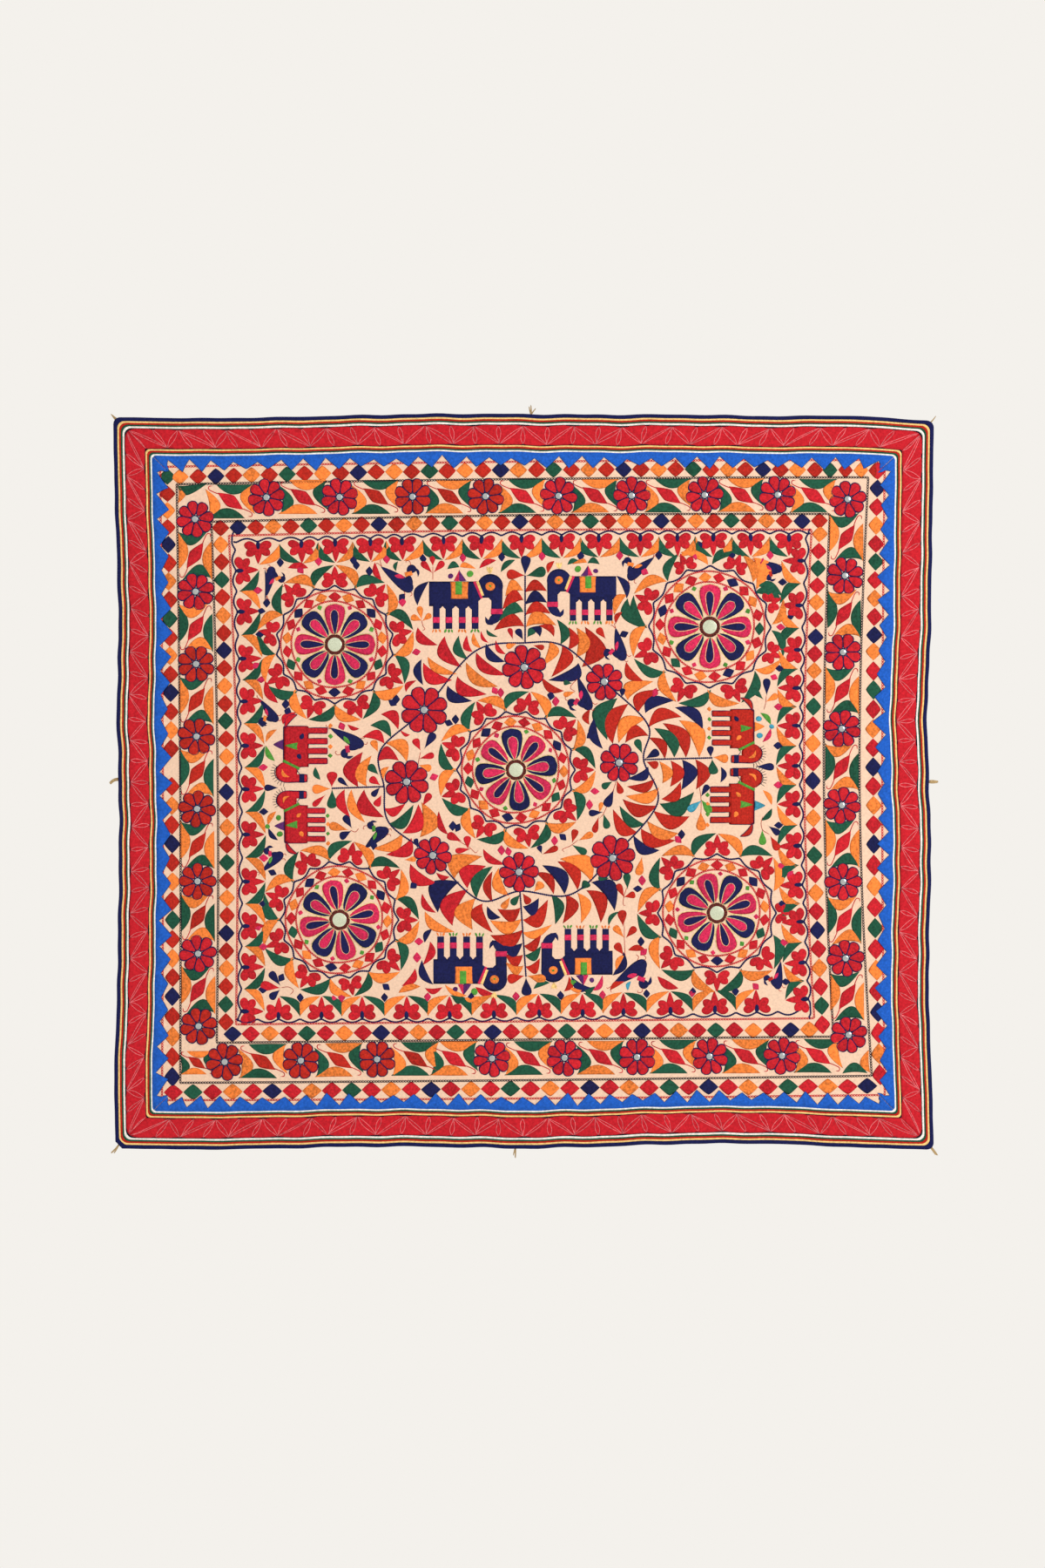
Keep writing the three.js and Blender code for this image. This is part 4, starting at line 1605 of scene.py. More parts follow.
# Space for the flowers about the round figures, and the two elephants' pairs that take some of it
LOTUS_ROOM = ((296, 1143), (897, 636))
ELEPHANT_BOXES = (((316, 984), (376, 820)), ((814, 962), (882, 806)))
FIELD_ROOM = ((266, 1174), (931, 606))

# Animals: steps right and down, turn, size and whether mirrored, and then their threads
NAVY_ELEPHANTS = (
    (521, 682),
    (681, 675, 0, 0.94, True),
    (526, 1115, 180, 1.0, True),
    (676, 1105, 180, 0.97),
)
RED_ELEPHANTS = (
    ((341, 858.5, 90, 1.11, True),
     (Dye.RED, Dye.NAVY, Dye.NAVY, Dye.PURPLE, Dye.ORANGE, Dye.LEAF_GREEN)),
    ((341, 944.8, 90, 1.03),
     (Dye.RED, Dye.ORANGE, Dye.ORANGE, Dye.PURPLE, Dye.NAVY, Dye.ORANGE, Dye.LEAF_GREEN)),
    ((851, 838, -90, 1.06),
     (Dye.BRICK, Dye.NAVY, Dye.ORANGE, Dye.ORANGE, Dye.LEAF_GREEN, Dye.PINK, Dye.TURQUOISE)),
    ((850.5, 921.5, -90, 1.11, True),
     (Dye.BRICK, Dye.ORANGE, Dye.ORANGE, Dye.TURQUOISE, Dye.GREEN, Dye.ORANGE)),
)
BIRDS = (
    ((462.6, 669.7), Dye.ORANGE, Dye.PINK),
    ((310, 661, -138, 0.75, True), Dye.ORANGE, Dye.PINK),
    ((312, 820, 91, 0.72, True), Dye.ORANGE, Dye.PINK),
    ((406, 850, 114, 0.95, True), Dye.PINK, Dye.LEAF_GREEN),
    ((317, 986, 80, 0.72), Dye.PINK, Dye.LEAF_GREEN),
    ((437, 958, 80, 0.8), Dye.LEAF_GREEN, Dye.LEAF_GREEN),
    ((730, 1112, 177, 1.05, True), Dye.PINK, Dye.PINK),
    ((894, 1126, 46, 0.72, True), Dye.BRICK, Dye.PINK),
    ((730, 657, 2, 0.85, True), Dye.ORANGE, Dye.ORANGE),
    ((889, 651, 122, 0.7, True), Dye.BRICK, Dye.PINK),
    ((713, 747, 65, 0.85, True), Dye.PINK, Dye.PINK),
    ((673, 803, 72, 0.9, True), Dye.PINK, Dye.PINK),
)

VINE = (
    (603, 738), (545, 748), (487, 815), (437, 861), (441, 903), (447, 945), (495, 982), (550, 1033),
    (597, 1023), (655, 1027), (703, 984), (755, 922), (739, 872), (744, 832), (694, 783), (648, 742),
)
VINE_ROSETTES = (
    (602, 766, 24), (487, 815, 25.7), (467, 897.5, 24), (497, 982, 20),
    (596, 1001, 21), (703.5, 985, 24.5), (711, 875.5, 21), (694, 782.5, 20),
)
VINE_SHOOTS = (
    ((603, 737), (603, 661)),
    ((597, 1023), (604, 1121)),
    ((441, 903), (381, 905)),
    ((740, 872), (818, 870)),
)

# Single leaves that fill what is left: steps right and down, turn and length
FIELD_LEAVES: dict[Dye, Table] = {
    Dye.RED: (
        (342, 652, 0, 24), (434, 656, 110, 22), (560, 648, 25, 22), (312, 794, 120, 30),
        (406, 834, 160, 14), (556, 1137, 160, 22), (767, 1128, 150, 28),
    ),
    Dye.BRICK: ((633, 651, 60, 16), (731, 1091, 0, 20), (709, 1132, 30, 20)),
    Dye.GREEN: (
        (456, 650, 80, 12), (583, 650, 40, 22), (365, 888, 110, 16), (658, 646, 20, 14),
        (622, 1132, 20, 20),
    ),
    Dye.ORANGE: ((470, 1136, 15, 26), (713, 1105, 60, 22)),
    Dye.NAVY: ((492, 1074, 60, 18),),
    Dye.TURQUOISE: ((723, 1132, 70, 12),),
}

# Bent leaves in the border's corners, root, bend and tip
CORNER_LEAVES: dict[Dye, Table] = {
    Dye.GREEN: ((240, 554, 212, 568, 204, 557), (967, 1232, 981, 1220, 996, 1232)),
    Dye.ORANGE: ((204, 578, 213, 566, 204, 558), (998, 1205, 988, 1220, 999, 1231)),
}

# Leaves along the vine and near it, on the sheet: the root, the outermost point of the bend and the tip
VINE_LEAVES: dict[Dye, Table] = {
    Dye.RED: (
        (561, 738, 553, 734, 552, 724), (543, 748, 532, 743, 536, 729), (530, 766, 504, 752, 511, 730),
        (519, 781, 492, 784, 486, 761), (569, 735, 570, 747, 581, 751), (547, 749, 553, 770, 582, 775),
        (525, 776, 528, 797, 559, 797), (457, 838, 455, 817, 437, 820), (441, 854, 434, 839, 416, 846),
        (459, 838, 465, 845, 471, 843), (433, 874, 444, 857, 458, 873), (441, 927, 452, 937, 466, 922),
        (462, 956, 485, 950, 480, 923), (441, 938, 412, 930, 418, 906), (472, 962, 470, 982, 443, 981),
        (538, 1021, 507, 1036, 520, 1063), (537, 1020, 529, 997, 558, 994),
        (411, 904, 395, 884, 417, 863), (396, 906, 386, 922, 402, 938), (581, 992, 561, 989, 555, 974),
        (502, 1014, 476, 1014, 471, 991), (501, 1048, 486, 1042, 485, 1026),
        (515, 958, 503, 949, 504, 931), (478, 781, 466, 785, 466, 795), (503, 741, 481, 737, 480, 720),
        (516, 1006, 507, 1010, 501, 1002), (485, 1108, 499, 1095, 494, 1081),
        (461, 1132, 477, 1127, 477, 1112), (488, 1134, 498, 1141, 508, 1133),
        (325, 832, 325, 821, 341, 818),
    ),
    Dye.BRICK: (
        (555, 1037, 541, 1050, 566, 1071), (566, 1036, 555, 1018, 566, 1000),
        (636, 1027, 634, 1006, 614, 1002), (663, 1022, 664, 997, 640, 989),
        (649, 1027, 664, 1040, 646, 1060), (673, 1022, 696, 1030, 690, 1060),
        (759, 917, 778, 918, 782, 897), (750, 931, 769, 951, 792, 937), (736, 951, 745, 972, 776, 965),
        (752, 894, 742, 909, 720, 903), (755, 925, 732, 937, 715, 917), (732, 955, 711, 957, 704, 929),
        (636, 731, 634, 718, 618, 718), (652, 746, 665, 735, 653, 720), (668, 766, 695, 748, 672, 719),
        (645, 741, 657, 757, 633, 777), (733, 819, 730, 799, 758, 792), (745, 835, 757, 814, 783, 823),
        (722, 808, 693, 824, 704, 854), (745, 845, 727, 833, 718, 853), (601, 690, 588, 677, 577, 700),
        (602, 719, 586, 705, 567, 724), (603, 680, 614, 666, 628, 679), (603, 706, 615, 691, 632, 705),
        (598, 1042, 588, 1058, 571, 1043), (600, 1067, 586, 1087, 563, 1073),
        (601, 1096, 592, 1110, 580, 1095), (600, 1056, 620, 1063, 629, 1033),
        (601, 1085, 614, 1091, 622, 1071), (603, 1109, 615, 1117, 620, 1100),
        (763, 871, 764, 852, 745, 847), (788, 870, 790, 842, 761, 830), (770, 873, 786, 887, 769, 903),
        (798, 872, 815, 887, 799, 906), (740, 783, 720, 778, 719, 760), (648, 793, 630, 794, 622, 777),
        (677, 832, 669, 824, 678, 814), (707, 716, 706, 706, 715, 702),
        (647, 1138, 657, 1133, 653, 1121),
    ),
    Dye.ORANGE: (
        (553, 744, 543, 738, 544, 726), (525, 774, 499, 771, 491, 754), (535, 760, 543, 784, 572, 788),
        (443, 853, 466, 851, 467, 875), (482, 961, 503, 944, 484, 921), (462, 957, 455, 976, 428, 974),
        (546, 1031, 522, 1046, 543, 1067), (522, 1009, 517, 984, 554, 983),
        (585, 1029, 566, 1018, 573, 996), (679, 1013, 676, 985, 643, 986),
        (663, 1025, 678, 1038, 667, 1060), (743, 942, 756, 964, 779, 956),
        (757, 904, 745, 922, 718, 914), (661, 755, 679, 738, 662, 720), (630, 736, 641, 748, 623, 764),
        (721, 804, 719, 785, 750, 782), (742, 825, 714, 825, 710, 853), (601, 678, 588, 666, 580, 684),
        (604, 720, 616, 702, 639, 718), (599, 1055, 583, 1072, 563, 1056),
        (601, 1108, 592, 1119, 580, 1104), (600, 1070, 614, 1077, 634, 1061),
        (421, 903, 406, 887, 427, 867), (404, 906, 400, 928, 419, 944), (803, 869, 808, 838, 780, 827),
        (757, 874, 772, 887, 760, 899), (522, 1070, 495, 1066, 488, 1046),
        (705, 706, 706, 686, 720, 683), (447, 880, 437, 884, 440, 895),
        (511, 1130, 521, 1142, 537, 1143), (864, 640, 886, 651, 868, 677),
    ),
    Dye.GREEN: (
        (572, 731, 561, 729, 559, 722), (538, 757, 521, 748, 527, 730), (449, 847, 443, 828, 425, 833),
        (446, 945, 464, 950, 475, 924), (547, 1032, 542, 1008, 566, 994),
        (633, 1027, 647, 1040, 637, 1061), (757, 922, 780, 936, 797, 909),
        (740, 946, 721, 948, 711, 925), (643, 740, 654, 726, 639, 711), (709, 801, 681, 818, 697, 850),
        (601, 703, 588, 692, 572, 713), (602, 1096, 614, 1102, 621, 1086),
        (774, 870, 778, 846, 751, 836), (739, 721, 715, 707, 721, 687),
        (699, 1063, 700, 1051, 711, 1046), (866, 681, 884, 673, 898, 691),
    ),
    Dye.NAVY: (
        (486, 787, 475, 771, 484, 757), (558, 739, 561, 757, 580, 760), (514, 787, 517, 805, 542, 805),
        (528, 1012, 495, 1016, 503, 1048), (559, 1040, 562, 1054, 575, 1053),
        (648, 1027, 650, 1002, 622, 993), (679, 1013, 705, 1014, 706, 1046),
        (727, 959, 735, 980, 758, 976), (744, 880, 741, 895, 720, 894), (664, 760, 664, 779, 629, 781),
        (741, 819, 746, 800, 775, 804), (603, 694, 614, 679, 628, 692),
        (600, 1082, 589, 1099, 578, 1083), (600, 1040, 614, 1051, 619, 1031),
        (783, 872, 800, 887, 782, 907), (775, 812, 800, 815, 807, 838), (692, 860, 676, 845, 683, 823),
        (608, 721, 621, 720, 620, 731), (656, 1121, 664, 1138, 680, 1134),
        (304, 690, 308, 670, 304, 653), (828, 880, 834, 889, 827, 898),
    ),
    Dye.PINK: ((680, 1137, 691, 1133, 692, 1119),),
}

# Drops at the ends of the stems and beside the vine: root, tip and half width
VINE_DROPS: dict[Dye, Table] = {
    Dye.RED: (
        (381, 904, 381, 886, 6.3), (437, 902, 425, 893, 4.5), (438, 912, 432, 925, 4.5),
        (483, 862, 476, 848, 4.4), (481, 871, 498, 866, 3.6), (322, 1134, 299, 1131, 5.4),
        (531, 966, 514, 958, 4.6), (537, 975, 536, 960, 4), (541, 974, 523, 977, 3.4),
        (374, 912, 359, 925, 3.2), (497, 658, 484, 645, 4), (498, 658, 510, 645, 4),
        (497, 650, 497, 638, 3.6), (589, 734, 585, 721, 3.2), (485, 926, 494, 911, 3.8),
    ),
    Dye.BRICK: (
        (603, 661, 582, 659, 6), (603, 1120, 583, 1125, 5.5), (742, 874, 756, 880, 4.6),
        (600, 1025, 608, 1037, 4.5), (612, 741, 625, 744, 3.5), (708, 895, 713, 911, 3.8),
        (688, 937, 682, 956, 3.6), (657, 968, 661, 952, 4.2), (622, 981, 641, 973, 3.6),
        (717, 1031, 709, 1015, 4.2), (716, 1030, 729, 1026, 4.2), (716, 1064, 714, 1045, 5.2),
        (718, 1077, 730, 1064, 4.2), (716, 1097, 707, 1083, 4.8), (884, 959, 894, 976, 4.6),
        (696, 734, 686, 721, 4.2),
    ),
    Dye.ORANGE: (
        (605, 1120, 627, 1125, 6), (380, 905, 358, 906, 5.4), (818.5, 869, 836.5, 871.5, 5.4),
        (586, 1029, 577, 1043, 4), (594, 738, 581, 742, 3.6), (464, 987, 478, 986, 3),
        (613, 1024, 623, 1013, 5), (480, 878, 495, 883, 4.2), (401, 953, 378, 947, 5.2),
        (434, 864, 428, 850, 4.2), (484, 712, 481, 696, 3.8), (485, 713, 472, 708, 3.6),
        (485, 713, 495, 705, 3.6), (664, 965, 681, 957, 4.2), (805, 931, 805, 954, 5.6),
        (717, 1077, 705, 1063, 4.2), (737, 983, 733, 1005, 4.8), (879, 806, 893, 798, 3.6),
        (661, 794, 647, 798, 3.2), (688, 934, 691, 921, 2.6),
    ),
    Dye.GREEN: (
        (604, 661, 627, 655, 6), (381, 906, 381, 928, 6), (818, 871, 819, 889, 5.8),
        (435, 890, 423, 878, 4.5), (738, 866, 731, 849, 4.2), (605, 732, 612, 722, 4.5),
        (598, 1026, 587, 1038, 4.2), (700, 1008, 687, 1009, 3.6), (667, 1022, 675, 1012, 5),
        (704, 897, 691, 904, 4), (693, 934, 698, 951, 4.2), (656, 970, 674, 979, 4.2),
        (721, 1021, 720, 1002, 4.4), (877, 803, 866, 793, 3.6), (657, 785, 647, 783, 3.4),
    ),
    Dye.LEAF_GREEN: (
        (805, 917, 816, 933, 4.4), (875, 952, 876, 970, 4.2),
    ),
    Dye.TURQUOISE: ((806, 918, 790, 931, 4.6),),
    Dye.NAVY: (
        (603, 661, 604, 638, 6), (604, 1121, 605, 1143, 6), (816, 870, 815.5, 856.5, 4.3),
        (437, 903, 427, 914, 4), (401, 904, 388, 893, 3.6), (741, 871, 756, 862, 5),
        (601, 735, 594, 722, 4.4), (480, 974, 477, 963, 2.8), (714, 801, 716, 790, 4),
        (487, 860, 499, 842, 4.8), (404, 951, 396, 936, 4.4), (404, 954, 390, 961, 4.4),
        (322, 1132, 310, 1116, 4.4), (322, 1136, 310, 1146, 4.4), (320, 904, 303, 904, 3.6),
        (705, 906, 696, 926, 5.2), (693, 932, 676, 934, 4.2), (805, 915, 813, 901, 3.8),
        (882, 948, 895, 957, 4.2), (880, 799, 880, 779, 4.4), (867, 880, 889, 881, 4.4),
        (622, 980, 619, 971, 3.2),
    ),
}

# Thin stems between the drops, and where buds of four straight sides are worked
STEMS = (
    (497, 650, 497, 658, 497, 666), (484, 712, 486, 719, 488, 722, 485, 724),
    (402, 953, 408, 955, 412, 951), (322, 1134, 331, 1133, 337, 1137, 333, 1142),
    (520, 962, 538, 972, 546, 979, 549, 976), (708, 893, 705, 905, 694, 932, 688, 940),
    (664, 964, 655, 971, 646, 975, 648, 978), (803, 902, 805, 917, 805, 935),
    (720, 1018, 716, 1031, 716, 1039, 719, 1039), (717, 1060, 717, 1078, 718, 1098),
    (880, 798, 879, 808, 877, 815), (483, 863, 481, 872, 480, 879),
    (876, 937, 874, 945, 876, 953, 884, 958), (661, 794, 655, 789, 664, 778),
)
FIELD_BUDS: dict[Dye, tuple[Pair, ...]] = {
    Dye.NAVY: (
        (306, 692), (328, 808), (424, 656), (455, 803), (520, 948), (783, 958), (736, 1081), (523, 826),
    ),
    Dye.PINK: (
        (462, 691), (638, 805), (737, 1011), (637, 965), (677, 924), (576, 976), (575, 795),
        (479, 1099),
    ),
}


@dataclass
class Embroidery:
    """All the needlework on the ground, set out from the border inwards."""

    work: Needlework
    diamond_half: float = 13.6
    wave_foot: float = 3.6
    wave_rise: float = 4.4

    def stitch(self) -> None:
        """Stitch everything."""
        for line, dye, breadth in CHAIN_LINES:
            self.work.chain(line.loop(), dye, 4.6, breadth, closed=True, hole=0.4)
        for line, rows in ((OUTER_DIAMONDS, OUTER_ROWS), (INNER_DIAMONDS, INNER_ROWS)):
            for number, row in enumerate(rows):
                self.stitch_diamonds(line, number, row)
        self.stitch_rosettes()
        for row in LOTUS_ROWS:
            self.stitch_lotus_row(row)
        for x, y, size, *figure in MEDALLIONS:
            Medallion(self.work, spot_at(x, y, 0.0, size), *figure).stitch()
        self.stitch_wreath()
        for place in NAVY_ELEPHANTS:
            NavyElephant(self.work, spot_at(*place)).stitch()
        for place, threads in RED_ELEPHANTS:
            RedElephant(self.work, spot_at(*place), threads).stitch()
        for place, band, wing in BIRDS:
            Bird(self.work, spot_at(*place), band, wing).stitch()
        self.stitch_fillings()

    def stitch_diamonds(self, line: Frame, number: int, row: DiamondRow) -> None:
        """Stitch one row of diamonds whose tips touch, in the order of the colour cycle.

        Args:
            line: the four-sided line they lie on.
            number: the side.
            row: how the diamonds are spaced and coloured.
        """
        count = row.knots[-1][0] + 1
        marks, steps = np.array(row.knots, float).T
        spaced = np.interp(np.arange(count), marks, steps)
        pitch = np.gradient(spaced)
        corners = on_sheet([line.corners[number], line.corners[(number + 1) % 4]])
        length = np.linalg.norm(corners[1] - corners[0]) / STEP_MM
        starts = line.side(number, (spaced - 0.5 * pitch) / length)
        ends = line.side(number, (spaced + 0.5 * pitch) / length)
        red = Dye.BRICK if number in (0, 3) else Dye.RED
        skips = dict(row.skips)
        place = row.start
        for k in range(count):
            place += skips.get(k, 0)
            dye = DIAMOND_CYCLE[place % len(DIAMOND_CYCLE)]
            thread = red if dye is Dye.RED else dye
            if k != row.bare:
                self.work.fill(FLAT, thread, starts[k], ends[k], self.diamond_half, outline=Outline.DIAMOND)
            place += 1

    def stitch_rosettes(self) -> None:
        """Stitch the border of rosettes and the figures between them."""
        self.stitch_leaves(CORNER_LEAVES)
        BorderUnit(self.work, spot_at(226, 1220, 0.0, 0.7)).stitch(1, Dye.BRICK)
        number = 0
        for row in ROSETTE_ROWS:
            places = row.places()
            dyes = [Dye.BRICK if k in row.brick else Dye.RED for k in range(row.count)]
            for k, (x, y) in enumerate(places):
                Rosette(self.work, spot_at(x, y, 7.0 * k), dyes[k]).stitch()
            stops = [*row.before, *places.tolist(), *row.after]
            for k, ((x0, y0), (x1, y1)) in enumerate(zip(stops[:-1], stops[1:])):
                own = spot_at((x0 + x1) / 2, (y0 + y1) / 2, row.turn)
                BorderUnit(self.work, own).stitch(number, dyes[min(k, row.count - 1)])
                number += 1

    def stitch_lotus_row(self, row: LotusRow) -> None:
        """Stitch the lotuses along one side of the field and the wavy line over them.

        The line lies outside the flowers by a foot plus the size of a sine with two waves to a flower.

        Args:
            row: the flowers' places.
        """
        line = Frame((row.first, row.last, row.first, row.last), (row.bow, 0.0, 0.0, 0.0))
        stops = np.array(row.stops, float)
        places = line.side(0, stops / stops[-1])
        ahead = np.gradient(places, axis=0)
        gaps = np.diff(stops)
        before = np.concatenate([gaps[:1], gaps]) / 2
        after = np.concatenate([gaps, gaps[-1:]]) / 2
        for k, (x, z) in enumerate(places):
            own = Spot(x, z, math.degrees(math.atan2(ahead[k, 1], ahead[k, 0])), STEP_MM)
            last = k == len(places) - 1
            bud = None if last else (Dye.NAVY, Dye.PINK)[k % 2]
            Lotus(self.work, own).stitch((before[k], after[k]), True, bud, (k > 0, not last))
        steps = np.linspace(-1, len(stops), 24 * len(stops))
        beyond = np.array([-gaps[0], *stops, stops[-1] + gaps[-1]])
        spaced = np.interp(steps, np.arange(-1, len(stops) + 1), beyond)
        base = line.side(0, spaced / stops[-1])
        way = np.gradient(base, axis=0)
        way /= np.linalg.norm(way, axis=1, keepdims=True)
        outward = np.stack([-way[:, 1], way[:, 0]], axis=-1)
        wave = self.wave_foot + self.wave_rise * np.abs(np.sin(2 * math.pi * steps))
        waved = base + STEP_MM * wave[:, None] * outward
        lower, upper = on_sheet(FIELD_ROOM)
        inside = np.all((waved > lower) & (waved < upper), axis=1)
        self.work.chain(waved[inside], Dye.NAVY, 3.4, 3.6, hole=0.0)

    def stitch_wreath(self) -> None:
        """Stitch the vine, its leaves, drops and flowers, and the four shoots that leave it."""
        self.work.chain(smooth_path(on_sheet(VINE), closed=True), Dye.NAVY, 3.6, 3.4, closed=True, hole=0.0)
        self.stitch_leaves(VINE_LEAVES)
        for dye, drops in VINE_DROPS.items():
            for x0, y0, x1, y1, half in drops:
                root, tip = on_sheet([(x0, y0), (x1, y1)])
                self.work.fill(FLAT, dye, root, tip, half * STEP_MM, outline=Outline.TEAR, rise=0.8)
        for k, (x, y, radius) in enumerate(VINE_ROSETTES):
            size = (radius + 1.4) / Rosette.radius
            Rosette(self.work, spot_at(x, y, 9.0 * k), size=size, glass=4.0).stitch()
        for shoot in VINE_SHOOTS:
            self.work.chain(on_sheet(shoot), Dye.NAVY, 3.4, 3.2, hole=0.0)

    def stitch_leaves(self, leaves: dict[Dye, Table]) -> None:
        """Stitch bent leaves: each edge's offset is a share of the bend's distance from the straight way.

        Args:
            leaves: by thread, the steps on the sheet of each leaf's root, of its bend and of its tip.
        """
        for dye, rows in leaves.items():
            for row in rows:
                root, bend, tip = on_sheet(np.reshape(row, (3, 2)))
                way = tip - root
                length = float(np.linalg.norm(way))
                share = np.dot(bend - root, way) / length**2
                offset = float(np.dot(bend - root, np.array([-way[1], way[0]]))) / length
                lean = (np.clip(share, 0.25, 0.75) - 0.5) * length
                self.work.fill(FLAT, dye, root, tip, 1.07 * offset, 0.13 * offset, lean=lean)

    def stitch_fillings(self) -> None:
        """Stitch the stems, the buds and the single leaves that fill what is left."""
        for stem in STEMS:
            self.work.cord(smooth_path(on_sheet(np.reshape(stem, (-1, 2)))), Dye.BRICK, 1.2)
        for dye, buds in FIELD_BUDS.items():
            for x, y in buds:
                self.work.fill(spot_at(x, y), dye, (0, -6.0), (0, 6.0), 4.4, outline=Outline.DIAMOND)
        for dye, leaves in FIELD_LEAVES.items():
            for x, y, turn, length in leaves:
                half = length / 2
                own = spot_at(x, y, turn)
                self.work.fill(own, dye, (-half, 0), (half, 0), 0.42 * half + 2.0, 0.6 - 0.14 * half)


SIDE_NAMES = ("top", "right", "bottom", "left")


@dataclass(frozen=True)
class GroundCloth:
    """The cream panel that carries the needlework."""

    inset: float = 64.5
    thickness: float = 1.4
    step: float = 8.0

    def build(self, maker: MeshMaker) -> Piece:
        """Make the panel as a thin closed sheet.

        Args:
            maker: writes the mesh.

        Returns:
            The piece.
        """
        surface = maker.surface
        half = surface.width / 2 - self.inset
        low, high = surface.height - self.inset, self.inset
        across = np.linspace(-half, half, round(2 * half / self.step) + 1)
        down = np.linspace(low, high, round((low - high) / self.step) + 1)
        places = surface.warp(*np.meshgrid(across, down, indexing="ij"))
        lifts = (GROUND_LIFT, GROUND_LIFT - self.thickness)
        finish = ClothFinish(Dye.CREAM, unevenness=0.05, fleck=0.22)
        return maker.sheet("ground_cloth", places, lifts, finish, "ground_panel")


@dataclass(frozen=True)
class BlueStrips:
    """Strips with hand-cut teeth round the ground, each edge sewn down with dark thread."""

    inset: float = 64.8
    tip: float = 26.0
    notch: float = 9.0
    depth_wander: float = 2.6
    pitch_wander: float = 0.09
    corner_gap: float = 0.0003
    teeth: tuple[int, ...] = (32, 27, 34, 26)
    front: float = 2.7
    back: float = 1.7
    steps: int = 6
    columns: tuple[float, ...] = (1.0, 0.93, 0.5, 0.0)
    swell: tuple[float, ...] = (-0.35, 0.0, 0.15, 0.0)

    def build(self, work: Needlework) -> list[Piece]:
        """Return the four strips, with their teeth sewn down."""
        return [self.build_side(work, side) for side in range(4)]

    def build_side(self, work: Needlework, side: int) -> Piece:
        """Make one strip: a straight outer edge and an inner edge that goes from tip to notch and back.

        Args:
            work: the needlework.
            side: the side's number.

        Returns:
            The piece.
        """
        surface = work.maker.surface
        count = 2 * self.teeth[side]
        k = np.arange(count + 1)
        inner = (k > 0) & (k < count)
        knots = (k + np.where(inner, self.pitch_wander * np.sin(2.4 * k + side), 0.0)) / count
        depths = np.where(k % 2 == 0, self.tip, self.notch) + self.depth_wander * np.sin(3.7 * k + 2 * side)
        fine = np.linspace(0, count, count * self.steps + 1)
        share = np.interp(fine, k, knots) * (1 - 2 * self.corner_gap) + self.corner_gap
        depth = np.interp(fine, k, depths)
        insets = self.inset + np.array(self.columns) * depth[:, None]
        half = (surface.width, surface.height)[side % 2] / 2 - surface.turn(self.inset)
        lean = np.abs(2 * share - 1)[:, None] ** 12
        square = (half - self.inset) / (half - insets)
        along = surface.station(share, side, self.inset)[:, None] * (square + (1 - square) * lean)
        places = surface.side_places(side, np.clip(along, -2, 2), insets)
        for start in range(0, count * self.steps, self.steps):
            work.cord(places[start : start + self.steps + 1, 0], Dye.NAVY, 1.0, lift=0.55)
        lifts = (self.front + np.array(self.swell), self.back)
        finish = ClothFinish(Dye.BLUE, unevenness=0.06)
        name = SIDE_NAMES[side]
        return work.maker.sheet(f"blue_cloth_{name}", places, lifts, finish, f"blue_strip_{name}")


